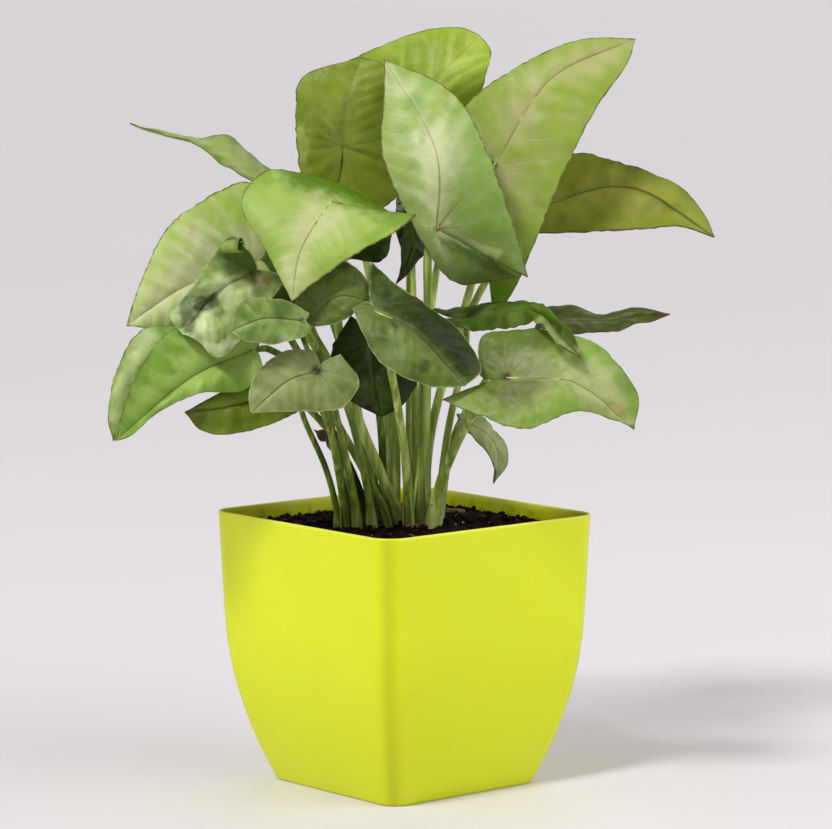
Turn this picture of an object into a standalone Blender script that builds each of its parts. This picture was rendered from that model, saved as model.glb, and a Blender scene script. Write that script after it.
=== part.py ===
"""Arrowhead plant in a square plastic pot, modelled in metres with +Z up.

The origin is the middle of the pot's underside and the pot's walls stand along X and Y.
The foliage is laid out in millimetres as one sees it from a viewpoint in front of a corner of the
pot: (across, up, back), where across and up are read on the upright plane through the pot's axis
and back is how far behind that plane a point stands, negative in front of it.
"""
from dataclasses import dataclass
from math import cos, hypot, pi, radians, sin

import bmesh
import bpy
from mathutils import Matrix, Vector, noise

MM = 0.001

# viewpoint of the layout
EYE_ACROSS = 5.0
EYE_UP = 346.0
EYE_DISTANCE = 1634.0
VIEW_TURN = radians(49.5)

# pot
POT_SIDE = 115.0
POT_HEIGHT = 112.8
POT_WALL = 1.5
POT_FLOOR = 2.4
POT_CORNER_RIM = 10.0
POT_CORNER_FOOT = 8.0
POT_TAPER = 0.085
POT_FOOT_CURVE = 0.575
POT_FOOT_START = 0.62
POT_LEVELS = (0.006, 0.06, 0.13, 0.22, 0.32, 0.43, 0.55, 0.70, 0.85)
CORNER_STEPS = 5
LIP = 0.5
FOOT_EDGE = 0.6
FLOOR_FILLET = 1.2
DRAIN_RADIUS = 3.5
DRAIN_OFFSET = 20.0

# soil
SOIL_TOP = 106.4
SOIL_MOUND = 2.0
SOIL_MOUND_REACH = 1.1
SOIL_ROUGH = 1.6
SOIL_ROUGH_SCALE = 0.16
SOIL_ROUGH_SEED = 1.7
SOIL_ROUGH_FADE = 2.4
SOIL_RINGS = 9
SOIL_RING_GAP = 5.0
CHIP_SIZE = (9.0, 3.4, 2.0)
CHIP_EDGE = 0.5
CHIP_SUNK = 0.25
CHIP_PLACE = (21.0, 38.0)
CHIP_TURN = radians(70)
CHIP_TILT = radians(8)
HOLE_DEEPER = 2.0
HOLE_RINGS = 5
CLEAR = 0.4

# leaves and stalks
BLADE_THICKNESS = 0.8
BLADE_ROWS = 9
BLADE_COLUMNS = 4
SINUS_SHARE = 0.34
SINUS_CLOSE = 0.7
STALK_FOOT = 90.0
STALK_SIDES = 6
STALK_STEPS = 2
STALK_FLARE = 0.5

# colours and finishes: red, green, blue, roughness
POT_LOOK = (0.62, 0.70, 0.02, 0.35)
SOIL_LOOK = (0.02, 0.014, 0.01, 0.95)
CHIP_LOOK = (0.28, 0.18, 0.09, 0.85)
PALE_LOOK = (0.42, 0.50, 0.20, 0.45)
BRIGHT_LOOK = (0.26, 0.38, 0.07, 0.45)
DARK_LOOK = (0.09, 0.16, 0.04, 0.5)
STALK_LOOK = (0.16, 0.26, 0.06, 0.5)


@dataclass(frozen=True)
class Leaf:
    """One blade: its rib from base to tip and its two margins from lobe tip towards the tip."""

    name: str
    look: tuple
    rib: tuple
    one: tuple
    other: tuple
    stalk: tuple
    radius: float = 1.5
    puff: float = 2.0
    wave: float = 0.6
    gap: float = 0.4
    shows: int = 1


LEAVES = (
    Leaf("leaf_centre_pale", PALE_LOOK,
         rib=((13.5, 230, -18), (13, 262, -20), (-8, 299, 0)),
         one=((46, 210, -12), (33, 208, -11), (22, 207.5, -13), (11.5, 218, -15), (-8, 258, -16),
              (-8, 286, -8)),
         other=((51, 210, -24), (46, 228, -16), (32, 266, -8), (18, 287, -3)),
         stalk=((7, 108, -7), (8.5, 150, -9), (10, 195, -8), (10, 220, -9)), radius=1.8),
    Leaf("leaf_right_high", PALE_LOOK,
         rib=((37, 256, 8), (60, 291, 10), (94.5, 307.5, 26)),
         one=((17, 262, 6), (26, 281, 12), (50, 298, 16), (72, 307, 20)),
         other=((37, 193, 16), (46, 206, 12), (63, 247, 6), (78, 278, 10), (91, 297, 18)),
         stalk=((8, 108, 0), (11, 145, 6), (20, 180, 14), (29, 212, 20), (34, 238, 20)),
         radius=1.6, gap=0.6),
    Leaf("leaf_top_bright", BRIGHT_LOOK,
         rib=((0, 258, 30), (14, 290, 20), (31, 309, 30)),
         one=((-14, 262, 36), (-26, 292, 40), (-12, 303.5, 36), (12, 311.5, 32)),
         other=((18, 256, 28), (28, 276, 22), (32, 296, 18), (34, 304, 22)),
         stalk=((2, 108, 3), (4, 160, 12), (3, 220, 30), (0, 246, 36)), radius=1.5),
    Leaf("leaf_back_olive", DARK_LOOK,
         rib=((-25, 264, 10), (-23, 283, 6), (-17, 300, 10)),
         one=((-31, 236, 14), (-42, 254, 12), (-44, 277, 8), (-41, 292, 9)),
         other=((-25, 234, 8), (-9, 238, 10), (4, 254, 12), (3, 280, 8), (-7, 296, 8)),
         stalk=((-4, 108, 4), (-6, 160, 8), (-16, 220, 16), (-23, 252, 17)), radius=1.5),
    Leaf("leaf_left_bright", BRIGHT_LOOK,
         rib=((-30, 241, -30), (-42, 222, -44), (-46, 200, -50)),
         one=((-2, 234, -12), (-22, 246, -14), (-40, 252, -16), (-56, 253.5, -22), (-66.5, 240, -34),
              (-57, 222, -42)),
         other=((5, 235.5, -34), (-3, 229, -40), (-20, 219, -46), (-36, 208, -48)),
         stalk=((-2, 108, -7), (-8, 125, -9), (-20, 155, -10), (-27, 190, -12), (-30, 226, -23)), radius=1.8),
    Leaf("leaf_left_pale", PALE_LOOK,
         rib=((-62, 216, -10), (-90, 206, -22), (-114, 190, -30)),
         one=((-52, 240, 0), (-64, 249, -2), (-77, 244.5, -8), (-97, 230, -18), (-110, 203, -28)),
         other=((-50, 200, -10), (-66, 192, -14), (-93, 187, -24), (-103, 188.5, -28)),
         stalk=((-11, 108, -1), (-20, 150, -2), (-42, 190, -3), (-58, 208, -5)), radius=1.7),
    Leaf("leaf_left_curled", DARK_LOOK,
         rib=((-62, 212, -38), (-78, 203, -46), (-91, 186, -48)),
         one=((-64, 221, -50), (-71, 227, -46), (-80, 216, -46), (-89, 203, -50), (-96, 194, -50)),
         other=((-48, 210, -40), (-58, 196, -46), (-75, 177, -54), (-84, 183, -52)),
         stalk=((-7, 108, -11), (-14, 125, -13), (-26, 147, -17), (-44, 180, -26), (-58, 204, -36)),
         radius=1.4),
    Leaf("leaf_left_heart", BRIGHT_LOOK,
         rib=((-42, 192, -58), (-57, 193, -66), (-71, 188, -68)),
         one=((-39, 195, -54), (-48, 200, -58), (-60, 201, -64), (-68, 199, -67)),
         other=((-38, 189, -56), (-42, 185, -62), (-54, 182.5, -67), (-65, 183.5, -69)),
         stalk=((-19, 108, -13), (-26, 145, -28), (-34, 176, -41), (-39, 187, -50)), radius=1.2, puff=1.2),
    Leaf("leaf_inner_dark", DARK_LOOK,
         rib=((-38, 193, -36), (-27, 202, -42), (-14, 200, -40)),
         one=((-45, 198, -32), (-42, 205, -34), (-26, 216, -36), (-16, 210, -38)),
         other=((-40, 190, -38), (-32, 190, -43), (-23, 193, -44), (-17, 198, -42)),
         stalk=((-13, 108, -14), (-20, 145, -23), (-30, 174, -33), (-37, 187, -33)), radius=1.3, puff=1.2),
    Leaf("leaf_middle_dark", DARK_LOOK,
         rib=((-12, 196, -48), (4, 188, -56), (25, 165, -58)),
         one=((-13, 216, -34), (-2, 206, -38), (10, 198, -42), (24, 186, -48), (32, 172, -54)),
         other=((-21, 197, -48), (-17, 187, -54), (-9, 174, -60), (3, 167.5, -62), (17, 164, -60)),
         stalk=((2, 108, -13), (0, 140, -24), (-6, 175, -38), (-10, 189, -43)), radius=1.5),
    Leaf("leaf_shaded_heart", DARK_LOOK,
         rib=((-14, 182, -20), (-12, 166, -26), (-9, 152, -24)),
         one=((-22, 194, -20), (-30, 178, -22), (-24, 161, -26)),
         other=((0, 190, -20), (8, 176, -24), (1, 159, -25)),
         stalk=((-9, 108, 6), (-9, 140, -2), (-12, 168, -12)), radius=1.4),
    Leaf("leaf_front_heart", BRIGHT_LOOK,
         rib=((-36, 171, -54), (-48, 167, -62), (-63, 154, -66)),
         one=((-38, 180, -51), (-50, 179, -55), (-61, 170, -62), (-64, 160, -65)),
         other=((-26, 178, -52), (-18.5, 166, -56), (-27, 155.5, -60), (-46, 154.5, -64)),
         stalk=((-24, 108, -11), (-28, 135, -26), (-33, 158, -43), (-35, 166, -47)), radius=1.3),
    Leaf("leaf_left_under", BRIGHT_LOOK,
         rib=((-40, 170, -30), (-66, 158, -44), (-90.5, 154, -50)),
         one=((-38, 175, -27), (-56, 170, -37), (-74, 163, -46)),
         other=((-34, 161, -33), (-50, 151, -44), (-72, 145, -50), (-84, 147, -51)),
         stalk=((-27, 108, -6), (-32, 130, -9), (-42, 154, -18), (-42, 165, -24)), radius=1.1),
    Leaf("leaf_low_left", BRIGHT_LOOK,
         rib=((-62, 180, -38), (-88, 168, -48), (-119, 142, -58)),
         one=((-58, 188, -34), (-80, 190, -37), (-97, 187, -46), (-109, 171, -55), (-116, 155, -59)),
         other=((-58, 172, -42), (-66, 163, -48), (-83, 162, -53), (-100, 155, -57), (-112, 145, -60)),
         stalk=((-18, 108, -6), (-27, 140, -11), (-42, 170, -17), (-55, 180, -28)), radius=1.4),
    Leaf("leaf_far_left", BRIGHT_LOOK,
         rib=((-88, 184, -28), (-108, 172, -38), (-120, 142, -50)),
         one=((-92, 190, -26), (-108, 188, -32), (-118, 172, -41), (-122, 153, -48)),
         other=((-80, 176, -30), (-90, 165, -36), (-104, 155, -44), (-114, 146, -51)),
         stalk=((-16, 108, 2), (-30, 145, 0), (-60, 172, -10), (-83, 182, -22)), radius=1.3),
    Leaf("leaf_right_spotted", PALE_LOOK,
         rib=((42.5, 168.5, -52), (70, 166.5, -60), (95, 147, -58)),
         one=((31, 172, -46), (33, 186, -40), (56, 188, -42), (80, 182, -48), (96, 162, -54)),
         other=((16, 159, -54), (28, 154, -60), (50, 147, -66), (71, 154.5, -64), (88, 150.5, -60)),
         stalk=((12, 108, -12), (17, 130, -18), (30, 156, -36), (39, 164, -46)), radius=1.5),
    Leaf("leaf_right_edge", DARK_LOOK,
         rib=((26, 192.5, 0), (54, 195, -34), (73, 176, -64)),
         one=((12, 196, 8), (30, 198, 6), (51, 199.5, -18), (68, 189, -58)),
         other=((14, 192, -6), (30, 188, -14), (50, 190.5, -38), (57, 189.5, -52), (64, 182, -62)),
         stalk=((14, 108, 0), (18, 145, 0), (25, 178, -1)), radius=1.4),
    Leaf("leaf_far_right", DARK_LOOK,
         rib=((58, 193, 10), (84, 192, 4), (109.5, 195, 0)),
         one=((50, 196, 18), (67, 198, 16), (80, 195, 12), (97, 197, 4)),
         other=((54, 189, 2), (72, 186.5, -4), (90, 188.5, -6), (101, 192, -3)),
         stalk=((14, 108, 7), (21, 145, 12), (40, 176, 14), (52, 186, 13)), radius=1.2, puff=1.0),
    Leaf("leaf_right_back", DARK_LOOK,
         rib=((50, 238, 34), (92, 247, 34), (127.5, 226.5, 20)),
         one=((44, 252, 40), (70, 261, 42), (92, 256, 40), (112, 248, 35), (123, 236, 28)),
         other=((44, 226, 36), (56, 228, 32), (85, 229, 26), (112, 230.5, 22)),
         stalk=((8, 108, 7), (12, 150, 16), (27, 195, 25), (43, 224, 27)), radius=1.5, shows=-1),
    Leaf("leaf_left_narrow", BRIGHT_LOOK,
         rib=((-52, 246, 14), (-78, 262, 24), (-112, 273, 34)),
         one=((-46, 248, 24), (-58, 256, 30), (-70, 267, 34), (-86, 267.5, 34)),
         other=((-50, 240, 2), (-66, 251, 8), (-84, 263, 20), (-98, 269.5, 28)),
         stalk=((-13, 108, 12), (-20, 160, 17), (-38, 215, 18), (-49, 238, 16)), radius=1.3, puff=1.0),
    Leaf("leaf_small_droop", PALE_LOOK,
         rib=((24, 151, -4), (37, 142, -8), (37, 124.5, -10)),
         one=((22, 153.5, -3), (34, 151, -4), (43, 135, -6)),
         other=((21, 148, -8), (29, 143.5, -12), (37.5, 131, -13)),
         stalk=((14, 108, -6), (17, 128, -5), (22, 143, -4)), radius=1.1, puff=1.0),
    Leaf("leaf_young_folded", DARK_LOOK,
         rib=((2, 243, -4), (4, 225, -8), (-3, 207, -8)),
         one=((-3, 246, -2), (-3, 230, -8), (-1, 218, -10)),
         other=((8, 240, -2), (9.5, 224, -3), (4, 214, -7)),
         stalk=((2, 108, -2), (2, 150, -2), (2, 200, 2), (2, 232, 4)), radius=1.1, puff=1.0, gap=0.9),
    Leaf("leaf_inner_low", DARK_LOOK,
         rib=((-26, 224, -14), (-15, 222, -20), (-5, 227, -20)),
         one=((-30, 232, -10), (-20, 234, -14), (-9, 231, -18)),
         other=((-29, 218, -16), (-20, 217, -22), (-8, 217, -22)),
         stalk=((-4, 108, -1), (-4, 150, -6), (-14, 200, -10), (-24, 216, -11)), radius=1.1, puff=1.0),
    Leaf("leaf_inner_small", DARK_LOOK,
         rib=((-45, 196, -25), (-54, 200, -27), (-64, 202, -27)),
         one=((-43, 202, -23), (-51, 207, -25), (-60, 206, -26)),
         other=((-43, 191, -25), (-52, 193, -28), (-60, 197, -28)),
         stalk=((-22, 108, -1), (-29, 145, -6), (-38, 175, -12), (-43, 189, -22)), radius=1.1, puff=1.0),
    Leaf("leaf_back_low", DARK_LOOK,
         rib=((-34, 224, 40), (-58, 228, 62), (-88, 212, 84)),
         one=((-26, 236, 42), (-40, 244, 54), (-66, 240, 72)),
         other=((-30, 208, 44), (-46, 206, 56), (-72, 206, 74)),
         stalk=((-5, 108, 11), (-8, 160, 24), (-22, 205, 34), (-31, 217, 35)), radius=1.5, shows=-1),
    Leaf("leaf_back_high", DARK_LOOK,
         rib=((18, 236, 48), (34, 252, 68), (52, 252, 92)),
         one=((4, 244, 46), (10, 262, 58), (34, 268, 80)),
         other=((26, 222, 52), (44, 226, 66), (56, 240, 84)),
         stalk=((3, 108, 10), (7, 160, 24), (13, 210, 40), (17, 228, 44)), radius=1.5, shows=-1),
)


def clear_scene():
    """Remove everything that the scene starts with."""
    for item in list(bpy.data.objects):
        bpy.data.objects.remove(item, do_unlink=True)


def seen(across, up, back):
    """Return the world point in metres that is laid out at (across, up, back)."""
    grow = 1.0 + back / EYE_DISTANCE
    x = EYE_ACROSS + (across - EYE_ACROSS) * grow
    z = EYE_UP + (up - EYE_UP) * grow
    turned_x = x * cos(VIEW_TURN) - back * sin(VIEW_TURN)
    turned_y = x * sin(VIEW_TURN) + back * cos(VIEW_TURN)
    return Vector((turned_x, turned_y, z)) * MM


def toward_viewer():
    """Return the direction that the shown side of a leaf faces."""
    return Vector((sin(VIEW_TURN), -cos(VIEW_TURN), 0.6)).normalized()


def material(name, look):
    """Return a plain material with the given colour and roughness."""
    made = bpy.data.materials.new(name)
    made.use_nodes = True
    shader = made.node_tree.nodes["Principled BSDF"]
    shader.inputs["Base Color"].default_value = (*look[:3], 1.0)
    shader.inputs["Roughness"].default_value = look[3]
    return made


def add_object(name, mesh_data, look):
    """Turn a bmesh into a smooth-shaded object with its own material."""
    mesh = bpy.data.meshes.new(name)
    bmesh.ops.recalc_face_normals(mesh_data, faces=mesh_data.faces)
    mesh_data.to_mesh(mesh)
    mesh_data.free()
    mesh.shade_smooth()
    mesh.set_sharp_from_angle(angle=radians(40))
    mesh.materials.append(material(name, look))
    made = bpy.data.objects.new(name, mesh)
    bpy.context.scene.collection.objects.link(made)
    return made


def spline(points, share):
    """Return the point at a share of the way along a smooth curve through points."""
    spans = [max((b - a).length, 1e-6) ** 0.5 for a, b in zip(points, points[1:])]
    knots = [0.0]
    for span in spans:
        knots.append(knots[-1] + span)
    at = share * knots[-1]
    i = 0
    while i < len(spans) - 1 and at > knots[i + 1]:
        i += 1
    tangents = []
    for k in (i, i + 1):
        low, high = max(k - 1, 0), min(k + 1, len(points) - 1)
        tangents.append((points[high] - points[low]) / (knots[high] - knots[low]))
    t = (at - knots[i]) / spans[i]
    value = points[i] * (2 * t**3 - 3 * t**2 + 1) + points[i + 1] * (3 * t**2 - 2 * t**3)
    return value + tangents[0] * spans[i] * (t**3 - 2 * t**2 + t) + tangents[1] * spans[i] * (t**3 - t**2)


def facing(leaf, along, across):
    """Return the unit vector square to two directions, on the upper side of a blade."""
    normal = along.cross(across).normalized()
    if normal.dot(toward_viewer()) * leaf.shows < 0:
        normal.negate()
    return normal


def blade_normal(leaf):
    """Return the direction that a blade's upper side faces on the whole."""
    base, _, tip = [seen(*p) for p in leaf.rib]
    one, other = [seen(*side[len(side) // 2]) for side in (leaf.one, leaf.other)]
    return facing(leaf, tip - base, other - one)


def base_normal(leaf):
    """Return the direction that a blade's upper side faces where its stalk joins it."""
    base, middle, tip = [seen(*p) for p in leaf.rib]
    one, other = [spline([seen(*p) for p in side] + [tip], SINUS_SHARE) for side in (leaf.one, leaf.other)]
    return facing(leaf, middle - base, other - one)


def sinus_point(lobe, other_lobe, base, share):
    """Return a point of the edge between a lobe's tip and the base, bowed to the other lobe."""
    middle = lobe.lerp(base, 0.5)
    bow = middle.lerp(other_lobe.lerp(base, 0.5), SINUS_CLOSE)
    return lobe.lerp(bow, share).lerp(bow.lerp(base, share), share)


def blade_point(leaf, side, s, t, normal):
    """Return a point of a half blade: s runs lobe tip to tip, t runs rib to margin."""
    rib = [seen(*p) for p in leaf.rib]
    margin = [seen(*p) for p in side] + [rib[-1]]
    if s < SINUS_SHARE:
        other_lobe = seen(*(leaf.other if side is leaf.one else leaf.one)[0])
        inner = sinus_point(margin[0], other_lobe, rib[0], s / SINUS_SHARE)
    else:
        inner = spline(rib, (s - SINUS_SHARE) / (1 - SINUS_SHARE))
    outer = spline(margin, s)
    swell = leaf.puff * 4 * t * (1 - t) * sin(pi * s)
    ripple = leaf.wave * t * t * sin(pi * s) * sin(6 * pi * s + len(leaf.name))
    return inner.lerp(outer, t) + normal * (swell + ripple) * MM


def build_blade(leaf):
    """Make a blade as a thin sheet, split into triangles and thickened on both sides."""
    sheet = bmesh.new()
    normal = blade_normal(leaf)
    for side in (leaf.one, leaf.other):
        rows = []
        for i in range(BLADE_ROWS + 1):
            shares = [j / BLADE_COLUMNS for j in range(BLADE_COLUMNS + 1)]
            rows.append([sheet.verts.new(blade_point(leaf, side, i / BLADE_ROWS, t, normal)) for t in shares])
        for low, high in zip(rows, rows[1:]):
            for j in range(BLADE_COLUMNS):
                sheet.faces.new((low[j], low[j + 1], high[j + 1]))
                sheet.faces.new((low[j], high[j + 1], high[j]))
    bmesh.ops.remove_doubles(sheet, verts=sheet.verts, dist=0.02 * MM)
    made = add_object(leaf.name, sheet, leaf.look)
    thicken = made.modifiers.new("thickness", "SOLIDIFY")
    thicken.thickness = BLADE_THICKNESS * MM
    thicken.offset = 0.0
    return made


def stalk_route(leaf):
    """Return the points of a stalk's middle line, from its foot to just under its blade."""
    base = seen(*leaf.rib[0])
    normal = base_normal(leaf)
    points = [seen(*p) for p in leaf.stalk]
    slant = (base - points[-1]).normalized().cross(normal).length
    points.append(base - normal * (BLADE_THICKNESS / 2 + leaf.gap + leaf.radius * slant) * MM)
    foot = points[0].copy()
    foot.z = STALK_FOOT * MM
    points.insert(0, foot)
    count = (len(points) - 1) * STALK_STEPS
    return [spline(points, i / count) for i in range(count + 1)]


def tube(route, radii, sides):
    """Return a bmesh tube with closed ends along a route."""
    made = bmesh.new()
    across = Vector((1, 0, 0))
    rings = []
    for i, point in enumerate(route):
        ahead = (route[min(i + 1, len(route) - 1)] - route[max(i - 1, 0)]).normalized()
        across = (across - ahead * across.dot(ahead)).normalized()
        aside = ahead.cross(across)
        angles = [2 * pi * k / sides for k in range(sides)]
        rings.append([made.verts.new(point + (across * cos(a) + aside * sin(a)) * radii[i]) for a in angles])
    for low, high in zip(rings, rings[1:]):
        for k in range(sides):
            nxt = (k + 1) % sides
            made.faces.new((low[k], low[nxt], high[nxt], high[k]))
    made.faces.new(reversed(rings[0]))
    made.faces.new(rings[-1])
    return made


def stalk_radii(leaf, count, extra=0.0):
    """Return a stalk's radius at each point: wider at its sheathed foot, slim at its top."""
    widths = []
    for i in range(count):
        share = i / (count - 1)
        widths.append((leaf.radius * (1 + STALK_FLARE * (1 - share) ** 2) + extra) * MM)
    return widths


def build_stalk(leaf):
    """Make the stalk of one leaf."""
    route = stalk_route(leaf)
    name = leaf.name.replace("leaf", "stalk")
    return add_object(name, tube(route, stalk_radii(leaf, len(route)), STALK_SIDES), STALK_LOOK)


def pot_width(level):
    """Return the pot's outer side in millimetres at a share of its height."""
    taper = POT_TAPER * (1 - level)
    return POT_SIDE * (1 - taper - POT_FOOT_CURVE * max(0.0, POT_FOOT_START - level) ** 2)


def square_ring(mesh_data, width, corner, height):
    """Add the vertices of a rounded square and return them in order."""
    ring = []
    reach = width / 2 - corner
    for quarter in range(4):
        turn = quarter * pi / 2
        for step in range(CORNER_STEPS + 1):
            angle = turn + step / CORNER_STEPS * pi / 2
            x = (reach * (1 if quarter in (0, 3) else -1) + corner * cos(angle)) * MM
            y = (reach * (1 if quarter in (0, 1) else -1) + corner * sin(angle)) * MM
            ring.append(mesh_data.verts.new((x, y, height * MM)))
    return ring


def bridge(mesh_data, low, high):
    """Join two rings of equal length with quads."""
    count = len(low)
    for k in range(count):
        nxt = (k + 1) % count
        mesh_data.faces.new((low[k], low[nxt], high[nxt], high[k]))


def pot_corner(level):
    """Return the radius of the pot's upright corners at a share of its height."""
    return POT_CORNER_FOOT + (POT_CORNER_RIM - POT_CORNER_FOOT) * level


def pot_ring(mesh_data, height, inset):
    """Add one ring of the pot, moved inwards by inset."""
    level = height / POT_HEIGHT
    return square_ring(mesh_data, pot_width(level) - 2 * inset, pot_corner(level) - inset, height)


def build_pot():
    """Make the pot as one moulded shell with drain holes in its floor."""
    shell = bmesh.new()
    rings = [pot_ring(shell, 0.0, FOOT_EDGE)]
    rings += [pot_ring(shell, level * POT_HEIGHT, 0.0) for level in POT_LEVELS]
    rings.append(pot_ring(shell, POT_HEIGHT - LIP, 0.0))
    rings.append(pot_ring(shell, POT_HEIGHT, LIP))
    rings.append(pot_ring(shell, POT_HEIGHT - LIP, POT_WALL))
    inner = [level for level in reversed(POT_LEVELS) if level * POT_HEIGHT > 2 * POT_FLOOR]
    rings += [pot_ring(shell, level * POT_HEIGHT, POT_WALL) for level in inner]
    rings.append(pot_ring(shell, POT_FLOOR, POT_WALL + FLOOR_FILLET))
    for low, high in zip(rings, rings[1:]):
        bridge(shell, low, high)
    shell.faces.new(reversed(rings[0]))
    shell.faces.new(rings[-1])
    pot = add_object("pot", shell, POT_LOOK)
    for x in (-DRAIN_OFFSET, DRAIN_OFFSET):
        for y in (-DRAIN_OFFSET, DRAIN_OFFSET):
            cut(pot, drain_cutter(x, y))
    return pot


def drain_cutter(x, y):
    """Make the plug that cuts one drain hole."""
    made = bmesh.new()
    bmesh.ops.create_cone(made, cap_ends=True, segments=16, radius1=DRAIN_RADIUS * MM,
                          radius2=DRAIN_RADIUS * MM, depth=4 * POT_FLOOR * MM)
    bmesh.ops.translate(made, verts=made.verts, vec=Vector((x, y, 0)) * MM)
    return hidden(add_object("cut_drain", made, POT_LOOK))


def hidden(item):
    """Mark an object as a cutter."""
    item.hide_render = True
    item.display_type = "WIRE"
    return item


def cut(target, cutter):
    """Subtract a cutter from an object."""
    hole = target.modifiers.new("hole", "BOOLEAN")
    hole.operation = "DIFFERENCE"
    hole.solver = "EXACT"
    hole.object = cutter


def soil_height(x, y):
    """Return the height of the soil's surface in millimetres at a place in the pot."""
    away = hypot(x, y) / (POT_SIDE / 2)
    mound = SOIL_MOUND * max(0.0, 1 - away / SOIL_MOUND_REACH)
    spot = Vector((x * SOIL_ROUGH_SCALE, y * SOIL_ROUGH_SCALE, SOIL_ROUGH_SEED))
    fade = min(1.0, max(0.0, SOIL_ROUGH_FADE * (1 - away)))
    return SOIL_TOP + mound + SOIL_ROUGH * noise.noise(spot) * fade


def soil_cap(mesh_data, rim):
    """Close the soil's top with rings that follow its rough mound."""
    outer = rim
    for step in range(1, SOIL_RINGS):
        share = 1 - step / SOIL_RINGS
        ring = []
        for vert in rim:
            x, y = vert.co.x / MM * share, vert.co.y / MM * share
            ring.append(mesh_data.verts.new(Vector((x, y, soil_height(x, y))) * MM))
        bridge(mesh_data, outer, ring)
        outer = ring
    middle = mesh_data.verts.new(Vector((0, 0, soil_height(0, 0))) * MM)
    for k, vert in enumerate(outer):
        mesh_data.faces.new((vert, outer[(k + 1) % len(outer)], middle))


def build_soil():
    """Make the soil as one solid that fills the pot, with a plain hole for each stalk."""
    body = bmesh.new()
    low = POT_FLOOR + CLEAR
    inset = POT_WALL + CLEAR
    rings = [pot_ring(body, low, inset + FLOOR_FILLET)]
    for level in POT_LEVELS:
        height = level * POT_HEIGHT
        if 2 * POT_FLOOR < height < SOIL_TOP - SOIL_RING_GAP:
            rings.append(pot_ring(body, height, inset))
    rings.append(pot_ring(body, SOIL_TOP, inset))
    for lower, upper in zip(rings, rings[1:]):
        bridge(body, lower, upper)
    body.faces.new(reversed(rings[0]))
    soil_cap(body, rings[-1])
    soil = add_object("soil", body, SOIL_LOOK)
    cut(soil, hidden(build_chip("cut_chip", CLEAR)))
    for leaf in LEAVES:
        cut(soil, stalk_hole(leaf))
    return soil


def build_chip(name, extra=0.0):
    """Make the chip of wood that lies in a shallow bed in the soil, or the plug for its bed."""
    block = bmesh.new()
    bmesh.ops.create_cube(block, size=1.0)
    size = [(side + 2 * extra) * MM for side in CHIP_SIZE]
    bmesh.ops.scale(block, verts=block.verts, vec=size)
    bmesh.ops.bevel(block, geom=block.edges, offset=CHIP_EDGE * MM, segments=1, profile=0.5,
                    affect="EDGES", material=-1)
    spot = seen(CHIP_PLACE[0], 0.0, CHIP_PLACE[1]) / MM
    spot.z = soil_height(spot.x, spot.y) + CHIP_SIZE[2] * CHIP_SUNK
    turn = Matrix.Rotation(CHIP_TURN, 4, "Z") @ Matrix.Rotation(CHIP_TILT, 4, "Y")
    bmesh.ops.transform(block, matrix=Matrix.Translation(spot * MM) @ turn, verts=block.verts)
    return add_object(name, block, CHIP_LOOK)


def stalk_hole(leaf):
    """Make the plug that cuts the plain hole in which one stalk stands."""
    route = stalk_route(leaf)
    radii = stalk_radii(leaf, len(route), CLEAR / cos(pi / STALK_SIDES))
    route.insert(0, route[0] - Vector((0, 0, HOLE_DEEPER)) * MM)
    radii.insert(0, radii[0])
    plug = tube(route[:HOLE_RINGS], radii[:HOLE_RINGS], STALK_SIDES)
    return hidden(add_object("cut_" + leaf.name, plug, SOIL_LOOK))


def main():
    """Build the plant, its soil and its pot."""
    clear_scene()
    build_pot()
    build_soil()
    build_chip("wood_chip")
    for leaf in LEAVES:
        build_blade(leaf)
        build_stalk(leaf)


if __name__ == "__main__":
    main()
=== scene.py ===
"""Looks of an arrowhead plant in its square plastic pot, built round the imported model.

Lengths are in millimetres until a point is placed. The foliage is laid out as one sees it from a
viewpoint in front of a corner of the pot: (across, up, back), where across and up are read on the
upright plane through the pot's axis and back is how far behind that plane a point stands.
"""

import logging
import random
from collections.abc import Callable, Sequence
from dataclasses import dataclass, replace
from enum import Enum
from math import atan2, cos, floor, hypot, pi, radians, sin

import bmesh
import bpy
from mathutils import Matrix, Vector, noise


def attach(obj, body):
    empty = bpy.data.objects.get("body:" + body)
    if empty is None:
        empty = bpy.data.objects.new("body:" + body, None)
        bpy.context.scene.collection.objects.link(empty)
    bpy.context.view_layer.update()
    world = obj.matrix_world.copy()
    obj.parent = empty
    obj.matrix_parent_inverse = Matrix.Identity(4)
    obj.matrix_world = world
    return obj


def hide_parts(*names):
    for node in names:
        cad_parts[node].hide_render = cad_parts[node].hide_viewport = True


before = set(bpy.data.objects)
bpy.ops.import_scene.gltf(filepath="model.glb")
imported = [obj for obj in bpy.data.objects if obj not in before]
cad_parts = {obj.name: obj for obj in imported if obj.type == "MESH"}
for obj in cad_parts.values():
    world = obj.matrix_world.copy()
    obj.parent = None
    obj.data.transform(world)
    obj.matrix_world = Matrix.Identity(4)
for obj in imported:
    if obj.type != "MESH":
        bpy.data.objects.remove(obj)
LOG = logging.getLogger("arrowhead_plant")

MM = 0.001
BODY = "root"
SCREEN_GAMMA = 2.2
# the angle past which an edge is sharp
CREASE = radians(50)
# metres within which vertices become one, where a blade's halves meet and along a rod's seam
HALF_WELD, SEAM_WELD = 0.00002, 0.000005
# the seed of noise_vector, which takes one from the clock when it is given none
NOISE_SEED = 49

Spot = tuple[float, float, float]
Route = tuple[Spot, ...]
Shade = tuple[float, float, float, float]
Socket = bpy.types.NodeSocket
Material = bpy.types.Material
Piece = bpy.types.Object
BMesh = bmesh.types.BMesh
BMVert = bmesh.types.BMVert


def srgb(red: int, green: int, blue: int) -> Shade:
    """Turn a screen's colour, each value 0 to 255, into the linear one that a shader takes."""
    return (*[(value / 255) ** SCREEN_GAMMA for value in (red, green, blue)], 1.0)


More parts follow.
